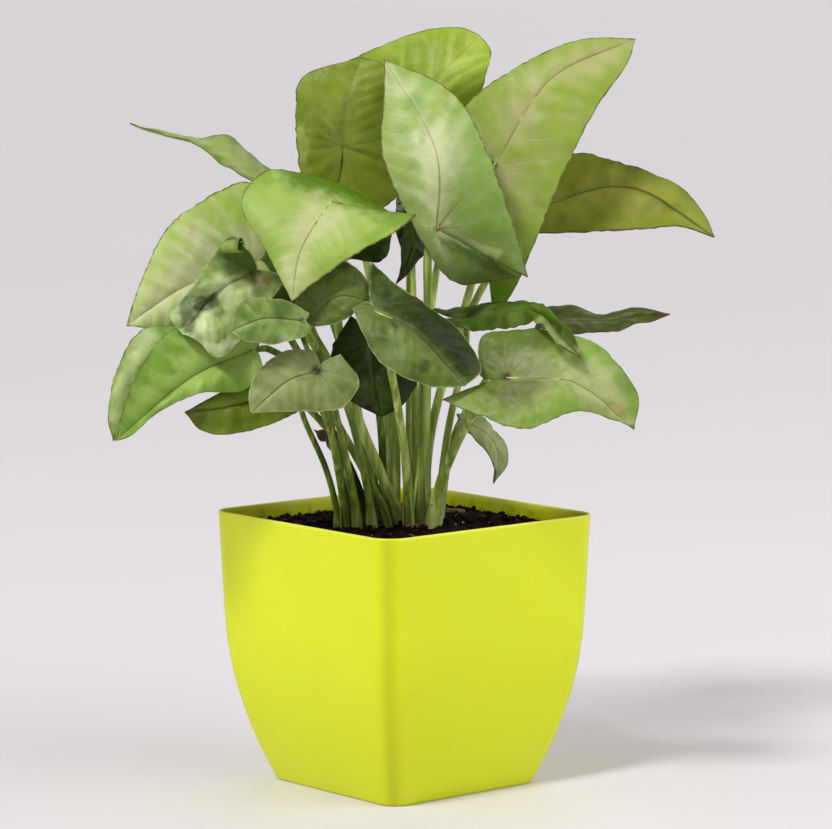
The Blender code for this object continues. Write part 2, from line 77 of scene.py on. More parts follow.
def smooth(low: float, high: float, value: float) -> float:
    """Ease a value from 0 at low to 1 at high."""
    share = min(1.0, max(0.0, (value - low) / (high - low)))
    return share * share * (3 - 2 * share)


# layout of the foliage


@dataclass(frozen=True)
class Viewpoint:
    """The place from which the foliage is laid out and seen.

    Across, up and distance say where the viewer stands, in millimetres. Press is how much less
    depth counts in the reach of a mark, and upward how far most leaves face up.
    """

    across: float = 5.0
    up: float = 346.0
    distance: float = 1634.0
    turn: float = radians(49.5)
    pitch: float = radians(6.73)
    focal_pixels: float = 3990.0
    picture_width: float = 832.0
    sensor: float = 36.0
    press: float = 4.0
    upward: float = 0.6

    def seen(self, spot: Spot) -> Vector:
        """Return the frame's point in metres for one laid out at (across, up, back)."""
        return self.turned(*self.unturned(spot))

    def unturned(self, spot: Spot) -> Spot:
        """Return the point laid out at (across, up, back) in the view's own axes, in millimetres.

        Args:
            spot: across, up and back in millimetres.

        Returns:
            Distance to the right, distance away from the viewer, and height.
        """
        grow = 1.0 + spot[2] / self.distance
        return (self.across + (spot[0] - self.across) * grow, spot[2],
                self.up + (spot[1] - self.up) * grow)

    def flattened(self, spot: Spot) -> Vector:
        """Return a laid out point in the view's axes in metres, its depth pressed together."""
        x, y, z = self.unturned(spot)
        return Vector((x, y / self.press, z)) * MM

    def turned(self, x: float, y: float, z: float) -> Vector:
        """Turn a point from the view's own axes in millimetres into the frame in metres."""
        c, s = cos(self.turn), sin(self.turn)
        return Vector((x * c - y * s, x * s + y * c, z)) * MM

    def toward(self) -> Vector:
        """Return the direction that the upper side of most leaves faces."""
        return Vector((sin(self.turn), -cos(self.turn), self.upward)).normalized()


VIEW = Viewpoint()


def knots_of(points: Sequence[Vector]) -> list[float]:
    """Return the running knots of a smooth curve through points.

    Args:
        points: the points that the curve passes.

    Returns:
        One knot for each point, the first of them 0.
    """
    knots = [0.0]
    for a, b in zip(points, points[1:]):
        knots.append(knots[-1] + max((b - a).length, 1e-6) ** 0.5)
    return knots


def spline(points: Sequence[Vector], share: float) -> Vector:
    """Return the point at a share of the way along a smooth curve through points.

    Args:
        points: the points that the curve passes.
        share: how far along, 0 to 1.

    Returns:
        The point there.
    """
    knots = knots_of(points)
    at = share * knots[-1]
    i = 0
    while i < len(points) - 2 and at > knots[i + 1]:
        i += 1
    tangents = []
    for k in (i, i + 1):
        low, high = max(k - 1, 0), min(k + 1, len(points) - 1)
        tangents.append((points[high] - points[low]) / (knots[high] - knots[low]))
    span = knots[i + 1] - knots[i]
    t = (at - knots[i]) / span
    value = points[i] * (2 * t**3 - 3 * t**2 + 1) + points[i + 1] * (3 * t**2 - 2 * t**3)
    value += tangents[0] * span * (t**3 - 2 * t**2 + t)
    return value + tangents[1] * span * (t**3 - t**2)


# shading


class Painter:
    """Adds nodes to one material, lays its colours over each other and finishes its shader."""

    MIX_SHARE, MIX_FIRST, MIX_SECOND, MIX_OUT = 0, 6, 7, 2

    def __init__(self, name: str, ground: Shade) -> None:
        """Start a material with a plain shader.

        Args:
            name: the material's name.
            ground: the colour that the others are laid over.
        """
        self.colour: Socket | Shade = ground
        self.material = bpy.data.materials.new(name)
        self.material.use_nodes = True
        self.tree = self.material.node_tree
        self.shader = self.tree.nodes["Principled BSDF"]

    def feed(self, socket: Socket, value: Socket | float | Shade | Vector) -> None:
        """Link a socket to another one, or set it to a plain value.

        Args:
            socket: the input to feed.
            value: an output socket or a plain value.
        """
        if isinstance(value, Socket):
            self.tree.links.new(value, socket)
        else:
            socket.default_value = value

    def place(self) -> Socket:
        """Return the piece's own coordinates in metres."""
        return self.tree.nodes.new("ShaderNodeTexCoord").outputs["Object"]

    def axes(self, vector: Socket) -> Sequence[Socket]:
        """Split a vector into its three values.

        Args:
            vector: the vector.

        Returns:
            The three values.
        """
        parts = self.tree.nodes.new("ShaderNodeSeparateXYZ")
        self.feed(parts.inputs[0], vector)
        return parts.outputs

    def chart(self, name: str) -> tuple[Socket, Socket]:
        """Return the two values of a named UV map.

        Args:
            name: the UV map's name.

        Returns:
            Its first and its second value.
        """
        uv = self.tree.nodes.new("ShaderNodeUVMap")
        uv.uv_map = name
        first, second, _ = self.axes(uv.outputs[0])
        return first, second

    def height(self) -> Socket:
        """Return the height of a point in metres."""
        return self.axes(self.place())[2]

    def math(self, kind: str, first: Socket | float, second: Socket | float = 0.0) -> Socket:
        """Work out one value from two.

        Args:
            kind: the operation, such as MULTIPLY.
            first: its first value.
            second: its second value.

        Returns:
            The result.
        """
        node = self.tree.nodes.new("ShaderNodeMath")
        node.operation = kind
        self.feed(node.inputs[0], first)
        self.feed(node.inputs[1], second)
        return node.outputs[0]

    def ease(self, value: Socket, low: float, high: float,
             first: float = 0.0, last: float = 1.0) -> Socket:
        """Ease a value between two limits.

        Args:
            value: the value to ease.
            low: value that gives the first result.
            high: value that gives the last result.
            first: result at and before low.
            last: result at and past high.

        Returns:
            The eased value.
        """
        node = self.tree.nodes.new("ShaderNodeMapRange")
        node.interpolation_type = "SMOOTHSTEP"
        for socket, given in zip(node.inputs, (value, low, high, first, last)):
            self.feed(socket, given)
        return node.outputs[0]

    def cover(self, share: Socket | float, shade: Shade) -> None:
        """Lay another colour over the one so far.

        Args:
            share: how much of it there is, 0 to 1.
            shade: the other colour.
        """
        node = self.tree.nodes.new("ShaderNodeMix")
        node.data_type = "RGBA"
        self.feed(node.inputs[self.MIX_SHARE], share)
        self.feed(node.inputs[self.MIX_FIRST], self.colour)
        self.feed(node.inputs[self.MIX_SECOND], shade)
        self.colour = node.outputs[self.MIX_OUT]

    def noise(self, scale: float, detail: float = 2.0, where: Socket | None = None) -> Socket:
        """Add a soft random pattern.

        Args:
            scale: how many waves there are in a metre.
            detail: how many finer layers it has.
            where: the coordinates that it reads, or None for the piece's own.

        Returns:
            The pattern's value, about 0.3 to 0.7.
        """
        node = self.tree.nodes.new("ShaderNodeTexNoise")
        self.feed(node.inputs["Vector"], where or self.place())
        self.feed(node.inputs["Scale"], scale)
        self.feed(node.inputs["Detail"], detail)
        return node.outputs["Fac"]

    def cells(self, scale: float, feature: str = "F1") -> Socket:
        """Add a pattern of cells.

        Args:
            scale: how many cells there are in a metre.
            feature: F1 for the distance to the middle, DISTANCE_TO_EDGE for that to the border.

        Returns:
            The distance, in cells.
        """
        node = self.tree.nodes.new("ShaderNodeTexVoronoi")
        node.feature = feature
        self.feed(node.inputs["Vector"], self.place())
        self.feed(node.inputs["Scale"], scale)
        return node.outputs["Distance"]

    def stretched(self, along: Spot) -> Socket:
        """Return the piece's own coordinates, denser along each axis.

        Args:
            along: how much denser a pattern gets along each axis.

        Returns:
            The stretched coordinates.
        """
        node = self.tree.nodes.new("ShaderNodeMapping")
        self.feed(node.inputs["Vector"], self.place())
        node.inputs["Scale"].default_value = along
        return node.outputs[0]

    def pressed(self) -> Socket:
        """Return the piece's own coordinates in the layout's axes, with their depth pressed together."""
        node = self.tree.nodes.new("ShaderNodeMapping")
        node.vector_type = "TEXTURE"
        self.feed(node.inputs["Vector"], self.place())
        node.inputs["Rotation"].default_value = (0.0, 0.0, VIEW.turn)
        node.inputs["Scale"].default_value = (1.0, VIEW.press, 1.0)
        return node.outputs[0]

    def vector(self, kind: str, first: Socket, second: Socket | Vector) -> bpy.types.Node:
        """Work on two vectors.

        Args:
            kind: the operation, such as SUBTRACT.
            first: the first vector.
            second: the second vector.

        Returns:
            The node with the result.
        """
        node = self.tree.nodes.new("ShaderNodeVectorMath")
        node.operation = kind
        self.feed(node.inputs[0], first)
        self.feed(node.inputs[1], second)
        return node

    def away(self, spot: Vector) -> Socket:
        """Return the distance in metres from a point."""
        return self.vector("DISTANCE", self.place(), spot).outputs["Value"]

    def away_from_line(self, start: Spot, end: Spot) -> Socket:
        """Return the distance in metres from a straight line between two laid out points.

        Args:
            start: the line's first point.
            end: its last point, which may be the first one.

        Returns:
            The distance, with depth counted less.
        """
        first, last = VIEW.flattened(start), VIEW.flattened(end)
        way = last - first
        reach = self.vector("SUBTRACT", self.pressed(), first).outputs["Vector"]
        if way.length == 0:
            return self.vector("LENGTH", reach, first).outputs["Value"]
        share = self.vector("DOT_PRODUCT", reach, way / way.length_squared).outputs["Value"]
        share = self.math("MINIMUM", self.math("MAXIMUM", share, 0.0), 1.0)
        scaled = self.tree.nodes.new("ShaderNodeVectorMath")
        scaled.operation = "SCALE"
        scaled.inputs[0].default_value = way
        self.feed(scaled.inputs["Scale"], share)
        return self.vector("DISTANCE", reach, scaled.outputs["Vector"]).outputs["Value"]

    def relief(self, height: Socket, depth: float, strength: float) -> None:
        """Add a fine relief on top of the one that the shader has.

        Args:
            height: the relief's height, 0 to 1.
            depth: how deep it is in metres.
            strength: how strongly it shows.
        """
        node = self.tree.nodes.new("ShaderNodeBump")
        node.inputs["Strength"].default_value = strength
        node.inputs["Distance"].default_value = depth
        self.feed(node.inputs["Height"], height)
        if self.shader.inputs["Normal"].is_linked:
            self.feed(node.inputs["Normal"], self.shader.inputs["Normal"].links[0].from_socket)
        self.feed(self.shader.inputs["Normal"], node.outputs[0])

    def finish(self, roughness: Socket | float, **plain: float) -> Material:
        """Give the shader its colour, its roughness and its plain values.

        Args:
            roughness: the surface's roughness.
            plain: other sockets of the shader by name, with underscores for spaces.

        Returns:
            The finished material.
        """
        self.feed(self.shader.inputs["Base Color"], self.colour)
        self.feed(self.shader.inputs["Roughness"], roughness)
        for name, value in plain.items():
            self.shader.inputs[name.replace("_", " ")].default_value = value
        return self.material


class BladeBrush(Painter):
    """A painter that knows how far a place is from the blade's rib, veins and margin.

    These distances are in millimetres, and the one from its base is in metres.
    """

    def __init__(self, name: str, ground: Shade, base: Vector, under: bool) -> None:
        """Start the material and read the blade's charts.

        Args:
            name: the material's name.
            ground: the colour that the others are laid over.
            base: the point where the stalk joins the blade.
            under: whether it is the under side.
        """
        super().__init__(name, ground)
        self.under = under
        phase, spacing = self.chart("veins")
        self.side, self.rim_away = self.chart("reach")
        self.rib_away = self.math("ABSOLUTE", self.side)
        self.base_away = self.away(base)
        self.grain = self.noise(260.0, 4.0)
        warp = self.math("MULTIPLY", self.math("SUBTRACT", self.noise(70.0), 0.5), 0.6)
        wave = self.math("FRACT", self.math("ADD", self.math("ADD", phase, warp), 100.5))
        aside = self.math("ABSOLUTE", self.math("SUBTRACT", wave, 0.5))
        self.vein_away = self.math("MULTIPLY", aside, spacing)
        faint = self.ease(self.noise(60.0), 0.38, 0.6, 0.25, 1.0)
        self.line = self.math("MULTIPLY", self.ease(self.vein_away, 0.06, 0.38, 1.0, 0.0), faint)

    def emboss(self) -> None:
        """Sink the veins into the upper side, and add pores, wrinkles and swells to both."""
        veins = self.math("MULTIPLY", self.line, 1.0 if self.under else -1.0)
        pores = self.ease(self.cells(480.0, "DISTANCE_TO_EDGE"), 0.0, 0.16)
        wrinkles = self.noise(150.0, 3.0)
        swells = self.noise(58.0)
        reliefs = ((veins, 0.16, 0.6), (pores, 0.06, 0.5), (wrinkles, 0.8, 0.4), (swells, 2.2, 0.5))
        for height, depth, strength in reliefs:
            self.relief(height, depth * MM, strength)


@dataclass(frozen=True)
class Mark:
    """A stain, fold line, fleck or patch of painted shade on a blade, laid out as the blade is.

    Reach is how far it spreads from its spot, or from the line to its end, and ragged how far its
    outline strays, both in millimetres.
    """

    spot: Spot
    reach: float
    shade: Shade
    show: float = 0.8
    ragged: float = 1.5
    end: Spot | None = None


@dataclass(frozen=True)
class LeafFinish:
    """Colours and markings of one kind of blade. Widths and reaches are in millimetres.

    Heart is the colour beside rib and veins, body the one between them and edge the one near the
    margin. Painted shade is a darker green that stands for shade, partly the blade's own tone:
    painted_shade_one and painted_shade_other are its shares on the two halves, and painted_shade_base
    the one near the base. Patches are flecks, the halo is pale beside the veins, the heel is the stain
    where the stalk joins (near black on the front heart leaf, where it is painted shade in the notch),
    spokes are the veins near it, and the rim is a thin line along the margin.
    """

    heart: Shade
    body: Shade
    edge: Shade
    rib: Shade
    vein: Shade
    rim: Shade
    slot: str
    # painted shade: a darker green laid on a half and near the base where they lie in shade, partly the
    # blade's own tone
    painted_shade: Shade = srgb(84, 106, 40)
    painted_shade_one: float = 0.0
    painted_shade_other: float = 0.0
    painted_shade_base: float = 0.0
    painted_shade_reach: float = 40.0
    rib_width: float = 0.26
    rib_show: float = 0.8
    rib_fade: float = 60.0
    rib_under: Shade = srgb(150, 160, 104)
    vein_show: float = 0.16
    halo: float = 0.35
    mottle: float = 0.6
    patch: Shade = srgb(90, 116, 56)
    patches: float = 0.25
    heel: Shade = srgb(72, 50, 46)
    heel_reach: float = 2.4
    heel_show: float = 0.7
    spoke_show: float = 0.0
    spoke_reach: float = 20.0
    rim_width: float = 0.34
    rim_show: float = 0.85
    roughness: float = 0.42
    marks: tuple[Mark, ...] = ()

    def paint(self, name: str, base: Vector, under: bool) -> Material:
        """Make the material of a blade's upper or under side.

        Args:
            name: the material's name.
            base: the point where the stalk joins the blade.
            under: whether it is the under side.

        Returns:
            The material.
        """
        brush = BladeBrush(name, self.body, base, under)
        self.cloud(brush)
        self.paint_shade(brush)
        brush.cover(brush.ease(brush.rim_away, 0.5, 9.0, 0.5, 0.0), self.edge)
        brush.cover(brush.ease(brush.grain, 0.35, 0.65, 0.0, 0.14), self.vein)
        show = self.vein_show * (1.6 if under else 1.0)
        brush.cover(brush.math("MULTIPLY", brush.line, show), self.vein)
        spokes = brush.ease(brush.base_away, 3.0 * MM, self.spoke_reach * MM, self.spoke_show, 0.0)
        brush.cover(brush.math("MULTIPLY", brush.line, spokes), self.rib)
        self.draw_rib(brush)
        self.draw_marks(brush)
        self.draw_rim(brush)
        brush.emboss()
        rough = self.roughness + (0.15 if under else 0.0)
        satin = brush.ease(brush.grain, 0.3, 0.7, rough - 0.06, rough + 0.08)
        return brush.finish(satin, Specular_IOR_Level=0.22)

    def cloud(self, brush: BladeBrush) -> None:
        """Make the ground paler along rib and veins, and cloud and fleck it.

        Args:
            brush: the side's painter.
        """
        blotch = brush.noise(48.0, 3.0)
        halo = brush.math("MULTIPLY", brush.ease(brush.vein_away, 0.3, 3.8, 1.0, 0.0), self.halo)
        glow = brush.math("ADD", halo, brush.ease(brush.rib_away, 1.0, 15.0, 0.7, 0.0))
        loose = brush.math("MULTIPLY", brush.math("SUBTRACT", blotch, 0.5), self.mottle * 4)
        brush.cover(brush.ease(brush.math("ADD", glow, loose), 0.0, 1.1), self.heart)
        brush.cover(brush.ease(brush.noise(120.0, 3.0), 0.52, 0.7, 0.0, self.patches), self.patch)
        brush.cover(brush.ease(brush.cells(170.0), 0.02, 0.06, 0.4, 0.0), self.patch)

    def paint_shade(self, brush: BladeBrush) -> None:
        """Paint shade, as a darker green, on one half and near the base.

        Args:
            brush: the side's painter.
        """
        reach = self.painted_shade_reach * MM
        half = brush.ease(brush.side, -5.0, 5.0, self.painted_shade_one, self.painted_shade_other)
        near = brush.ease(brush.base_away, 0.25 * reach, reach, self.painted_shade_base, 0.0)
        cloudy = brush.ease(brush.noise(32.0), 0.36, 0.62, 0.55, 1.0)
        # painted shade on one half and near the base
        brush.cover(brush.math("MULTIPLY", brush.math("MAXIMUM", half, near), cloudy), self.painted_shade)

    def draw_rib(self, brush: BladeBrush) -> None:
        """Draw the rib with its pale sides, and the dark heel where the stalk joins.

        Args:
            brush: the side's painter.
        """
        brush.cover(brush.ease(brush.rib_away, 0.3, 2.6, 0.3, 0.0), self.vein)
        fade = brush.ease(brush.base_away, 0.15 * self.rib_fade * MM, self.rib_fade * MM, 1.0, 0.3)
        thin = brush.ease(brush.rib_away, self.rib_width * 0.4, self.rib_width * 1.8, self.rib_show, 0.0)
        brush.cover(brush.math("MULTIPLY", thin, fade), self.rib_under if brush.under else self.rib)
        most = 0.0 if brush.under else self.heel_show
        brush.cover(brush.ease(brush.base_away, 0.7 * MM, self.heel_reach * MM, most, 0.0), self.heel)

    def draw_marks(self, brush: BladeBrush) -> None:
        """Add the blade's stains and flecks, and its patches of painted shade.

        Args:
            brush: the side's painter.
        """
        for mark in self.marks:
            loose = brush.math("SUBTRACT", brush.noise(240.0, 3.0), 0.5)
            away = brush.away_from_line(mark.spot, mark.end or mark.spot)
            away = brush.math("ADD", away, brush.math("MULTIPLY", loose, mark.ragged * 2 * MM))
            brush.cover(brush.ease(away, 0.3 * mark.reach * MM, 1.1 * mark.reach * MM, mark.show, 0.0),
                        mark.shade)

    def draw_rim(self, brush: BladeBrush) -> None:
        """Draw the thin broken line along the margin.

        Args:
            brush: the side's painter.
        """
        away = brush.math("ADD", brush.rim_away, brush.math("SUBTRACT", brush.grain, 0.5))
        rim = brush.ease(away, self.rim_width * 0.6, self.rim_width * 2.2, self.rim_show, 0.0)
        broken = brush.ease(brush.noise(330.0, 1.0), 0.36, 0.56, 0.35, 1.0)
        brush.cover(brush.math("MULTIPLY", rim, broken), self.rim)


RIB_BROWN = srgb(126, 92, 70)
RIB_PINK = srgb(176, 146, 112)
RIB_GREEN = srgb(58, 68, 30)
RIM_PURPLE = srgb(92, 60, 44)
RIM_PALE = srgb(160, 178, 122)
SHADE_GREEN = srgb(72, 96, 24)
WHITISH = srgb(206, 208, 180)
DRY_BROWN = srgb(112, 78, 46)

PALE_GREY = LeafFinish(
    heart=srgb(194, 204, 150), body=srgb(148, 174, 88), edge=srgb(124, 156, 66), rib=RIB_BROWN,
    vein=srgb(202, 202, 156), rim=RIM_PURPLE, patch=srgb(112, 142, 78), patches=0.4, mottle=0.8,
    spoke_show=0.35, spoke_reach=22.0, slot="leaf_pale")
PALE_WARM = LeafFinish(
    heart=srgb(170, 172, 112), body=srgb(142, 164, 66), edge=srgb(126, 152, 44), rib=RIB_BROWN,
    vein=srgb(172, 172, 116), rim=RIM_PURPLE, patches=0.1, spoke_show=0.3, slot="leaf_pale")
SUNNY = LeafFinish(
    heart=srgb(202, 206, 150), body=srgb(166, 190, 96), edge=srgb(146, 178, 66), rib=RIB_PINK,
    vein=srgb(212, 214, 164), rim=RIM_PURPLE, patches=0.15, vein_show=0.5, halo=0.6, slot="leaf_pale")
# the darker green near the base is painted shade
SPOTTED = LeafFinish(
    heart=srgb(160, 168, 110), body=srgb(130, 160, 64), edge=srgb(100, 130, 40), rib=srgb(96, 62, 58),
    vein=srgb(168, 174, 120), rim=srgb(78, 84, 44), patch=srgb(104, 138, 48), patches=0.55,
    mottle=0.9, heel_reach=3.0, heel_show=0.95, spoke_show=0.45, spoke_reach=14.0,
    painted_shade=srgb(76, 86, 30), painted_shade_base=0.95, painted_shade_reach=27.0, slot="leaf_pale")
DROOP = LeafFinish(
    heart=srgb(156, 164, 110), body=srgb(126, 142, 84), edge=srgb(108, 126, 70), rib=srgb(172, 180, 126),
    vein=srgb(172, 180, 128), rim=srgb(66, 72, 44), heel_show=0.0, slot="leaf_pale")
FRESH = LeafFinish(
    heart=srgb(184, 190, 130), body=srgb(146, 174, 76), edge=srgb(130, 164, 50), rib=RIB_BROWN,
    vein=srgb(192, 198, 140), rim=RIM_PURPLE, patches=0.12, vein_show=0.07, halo=0.2, heel_show=0.0,
    slot="leaf_bright")
TOP_LIT = LeafFinish(
    heart=srgb(170, 188, 84), body=srgb(126, 154, 34), edge=srgb(144, 168, 42), rib=srgb(128, 152, 52),
    vein=srgb(178, 192, 100), rim=srgb(112, 84, 44), vein_show=0.1, halo=0.45, patches=0.05,
    rib_show=0.15, heel_show=0.0, slot="leaf_bright")
LOW_GREEN = LeafFinish(
    heart=srgb(152, 182, 86), body=srgb(108, 146, 42), edge=srgb(92, 126, 34), rib=RIB_BROWN,
    vein=srgb(164, 188, 108), rim=srgb(96, 78, 46), halo=0.5, patch=srgb(72, 104, 26), patches=0.45,
    mottle=0.8, heel_show=0.0, slot="leaf_bright")
SILVER = LeafFinish(
    heart=srgb(146, 160, 98), body=srgb(86, 112, 36), edge=srgb(104, 128, 56), rib=RIB_GREEN,
    vein=srgb(168, 180, 124), rim=RIM_PALE, patch=srgb(52, 76, 26), patches=0.65, mottle=1.0,
    rim_show=0.6, vein_show=0.22, slot="leaf_bright")
# the near black heel and the darker green near the base are painted shade in the notch where the stalk
# joins
FRONT_GREY = replace(
    SILVER, heart=srgb(138, 146, 92), body=srgb(96, 110, 50), edge=srgb(108, 122, 62), patches=0.45,
    mottle=0.7, heel=srgb(30, 30, 14), heel_reach=4.2, heel_show=0.95, painted_shade_base=0.6, painted_shade_reach=18.0)
SILVER_DARK = LeafFinish(
    heart=srgb(94, 114, 46), body=srgb(46, 66, 12), edge=srgb(72, 94, 32), rib=RIB_GREEN,
    vein=srgb(122, 140, 80), rim=RIM_PALE, patch=srgb(30, 46, 8), patches=0.8, mottle=0.9,
    rim_show=0.55, vein_show=0.14, heel_show=0.0, slot="leaf_dark")
OLIVE = LeafFinish(
    heart=srgb(120, 132, 50), body=srgb(98, 114, 28), edge=srgb(110, 132, 36), rib=srgb(84, 86, 30),
    vein=srgb(132, 140, 68), rim=RIM_PURPLE, patch=srgb(76, 94, 22), patches=0.3, vein_show=0.06,
    rib_show=0.6, halo=0.2, heel_show=0.0, slot="leaf_dark")
# a very dark green that stands for the shade the inner leaves lie in: painted shade
SHADOWED = LeafFinish(
    heart=srgb(48, 66, 8), body=srgb(28, 43, 2), edge=srgb(32, 50, 3), rib=srgb(38, 50, 8),
    vein=srgb(72, 92, 32), rim=srgb(50, 50, 20), patches=0.3, patch=srgb(24, 38, 5), vein_show=0.08,
    rib_show=0.4, heel_show=0.0, slot="leaf_dark")
MID = LeafFinish(
    heart=srgb(78, 104, 12), body=srgb(50, 73, 2), edge=srgb(60, 86, 6), rib=srgb(58, 70, 14),
    vein=srgb(112, 134, 58), rim=srgb(82, 70, 38), patch=srgb(38, 58, 6), patches=0.4, vein_show=0.12,
    rib_show=0.4, heel_show=0.0, slot="leaf_dark")

CENTRE = replace(PALE_GREY, marks=(
    # the next three marks are painted shade on the right half of the blade, darkest low down
    Mark((34, 214, -12), 31.0, SHADE_GREEN, 0.8, 4.0),
    Mark((30, 242, -14), 22.0, srgb(92, 124, 40), 0.65, 5.0),
    Mark((27, 264, -12), 13.0, srgb(106, 138, 54), 0.4, 4.0),
    Mark((4, 281, -12), 6.0, srgb(96, 144, 40), 0.45, 3.0),
    Mark((1, 268, -12), 5.0, srgb(112, 150, 64), 0.4, 4.0),
    # painted shadow under the fold that runs from the heel
    Mark((18, 225, -14), 5.0, srgb(62, 86, 14), 0.6, 3.0, (40, 214, -16)),
    Mark((17, 228, -18), 2.4, srgb(166, 180, 122), 0.4, 2.5, (38, 219, -20)),
    Mark((13.5, 230, -18), 0.6, RIB_BROWN, 0.85, 0.3, (24, 243.5, -16)),
    Mark((13.5, 230, -18), 0.5, RIB_BROWN, 0.7, 0.3, (35, 230.5, -20))))
TOP_LEFT = replace(FRESH, marks=(
    Mark((-42, 254, -16), 11.0, srgb(78, 112, 8), 0.88, 4.0, (-22, 249, -13)),
    Mark((-16, 247, -12), 11.0, srgb(78, 112, 8), 0.88, 4.0, (0, 236, -12)),
    Mark((-57, 251, -22), 6.0, srgb(108, 144, 34), 0.5, 3.0),
    Mark((-14, 226, -42), 3.5, srgb(118, 150, 44), 0.45, 3.0, (0, 235, -36))))
RIGHT_HIGH = replace(PALE_WARM, marks=(
    # the first mark is painted shade on the lower part of the blade
    Mark((40, 198, 14), 24.0, srgb(92, 128, 2), 0.95, 4.0),
    Mark((24, 266, 8), 12.0, srgb(116, 138, 50), 0.5)))
BACK_OLIVE = replace(
    OLIVE, rib_show=0.0, vein_show=0.03, heart=srgb(136, 150, 56), body=srgb(114, 132, 30), marks=(
    Mark((-42, 270, 9), 4.0, srgb(164, 180, 88), 0.5, 4.0, (-42, 246, 12)),
    Mark((-25, 264, 9), 7.0, srgb(134, 148, 60), 0.5),
    Mark((-25, 264, 9), 1.6, srgb(146, 158, 76), 0.5, 1.5, (-34, 278, 9)),
    Mark((-25, 264, 9), 1.6, srgb(80, 92, 22), 0.5, 1.5, (-6, 258, 11)),
    Mark((-6, 284, 8), 9.0, srgb(76, 94, 20), 0.5)))
LEFT_SUNNY = replace(SUNNY, vein_show=0.3, marks=(
    Mark((-107, 197, -26), 2.2, WHITISH, 0.9, 0.6),
    Mark((-68, 238, -4), 11.0, srgb(156, 190, 72), 0.6, 4.0),
    Mark((-82, 236, -8), 0.9, srgb(222, 226, 180), 0.4, 2.0, (-62, 224, -6)),
    Mark((-93, 226, -16), 0.8, srgb(222, 226, 180), 0.4, 2.0, (-76, 214, -14)),
    Mark((-88, 222, -15), 3.0, srgb(156, 180, 86), 0.45, 3.0, (-74, 208, -14))))
CURLED = replace(SILVER, rib_show=0.2, heart=srgb(206, 218, 164), body=srgb(138, 164, 86), marks=(
    Mark((-66, 219, -46), 13.0, srgb(60, 88, 3), 0.92, 3.0, (-52, 216, -42)),
    Mark((-68, 208, -45), 4.0, srgb(104, 112, 52), 0.6, 2.5, (-56, 210, -42)),
    Mark((-60, 207, -45), 3.0, DRY_BROWN, 0.4, 4.0, (-51, 208, -42)),
    Mark((-84, 199, -48), 4.5, srgb(44, 60, 28), 0.85, 3.0, (-78, 200, -48)),
    Mark((-88, 190, -50), 4.0, srgb(52, 78, 26), 0.7, 3.0, (-90, 199, -50)),
    Mark((-70, 196, -48), 4.5, srgb(156, 168, 118), 0.55, 3.0, (-74, 206, -48)),
    Mark((-80, 181, -52), 3.0, srgb(196, 204, 164), 0.5, 3.0, (-58, 184, -50)),
    Mark((-62, 193, -46), 1.6, srgb(182, 190, 150), 0.6, 2.0, (-54, 190, -44))))
HEART_LEFT = replace(SILVER, heart=srgb(120, 146, 62), body=srgb(72, 104, 22), vein_show=0.35, marks=(
    Mark((-50, 197, -60), 6.0, srgb(60, 84, 20), 0.7),
    Mark((-48, 184, -62), 4.5, srgb(158, 168, 122), 0.6)))
# the dark half and the dark band along its upper margin are painted shade under the leaves above
MIDDLE = replace(SILVER_DARK, painted_shade=srgb(24, 38, 3), painted_shade_one=0.97, marks=(
    Mark((6, 197, -46), 11.0, srgb(26, 40, 4), 0.6, 3.0, (26, 181, -52)),
    Mark((-5, 178, -58), 12.0, srgb(112, 130, 68), 0.6, 5.0),
    Mark((-16, 192, -50), 8.0, srgb(116, 134, 72), 0.5, 4.0)))
UNDER_LEFT = replace(OLIVE, body=srgb(76, 94, 10), heart=srgb(100, 122, 24), marks=(
    Mark((-86, 152, -50), 8.0, srgb(48, 50, 14), 0.6),))
FAR_LEFT = replace(LOW_GREEN, marks=(
    Mark((-106, 186, -36), 6.5, srgb(196, 206, 148), 0.6, 3.0, (-117, 152, -48)),
    Mark((-111, 170, -43), 1.5, srgb(216, 222, 180), 0.55, 4.0, (-116, 150, -48)),
    Mark((-119, 143, -50), 3.0, DRY_BROWN, 0.8)))
RIGHT_SPOTTED = replace(SPOTTED, marks=(
    # the first mark is painted shade on the upper lobe
    Mark((34, 184, -42), 8.0, srgb(78, 100, 30), 0.7, 4.0, (60, 187, -42)),
    Mark((32, 174, -46), 5.0, srgb(82, 104, 36), 0.5, 4.0),
    Mark((90, 154, -59), 4.0, srgb(158, 126, 84), 0.4, 4.0),
    Mark((95, 147, -58), 2.6, DRY_BROWN, 0.9),
    Mark((92, 166, -54), 7.0, srgb(96, 116, 48), 0.6)))
EDGE_RIGHT = replace(MID, marks=(
    Mark((56, 190, -42), 4.5, srgb(150, 164, 104), 0.8, 2.5, (71, 178, -62)),
    Mark((46, 193, -30), 5.0, srgb(112, 136, 62), 0.6)))
FAR_RIGHT = replace(MID, heart=srgb(68, 72, 20), body=srgb(42, 50, 5), vein=srgb(92, 100, 46), marks=(
    Mark((106, 195, 0), 5.0, srgb(64, 58, 36), 0.8),
    Mark((80, 192, 5), 6.0, srgb(62, 80, 20), 0.6)))
RIGHT_BACK = replace(
    OLIVE, vein_show=0.05, body=srgb(122, 130, 34), heart=srgb(142, 148, 58), rib_under=srgb(82, 84, 24),
    rib_fade=140.0, rib_width=0.5, rib_show=0.85, marks=(
        Mark((56, 228, 32), 1.2, srgb(122, 74, 44), 0.7, 1.5, (112, 230, 22)),))
NARROW = replace(LOW_GREEN, heart=srgb(146, 160, 88), body=srgb(112, 134, 56), patches=0.2)


# leaves

# stalks whose foot stands further left than this, in millimetres, have the darker skin,
# which is painted shade
SHADED_STALKS_LEFT_OF = -6.5
# waves in a millimetre of a blade's broad and fine crumples
BROAD_CRUMPLES, FINE_CRUMPLES = 0.075, 0.17


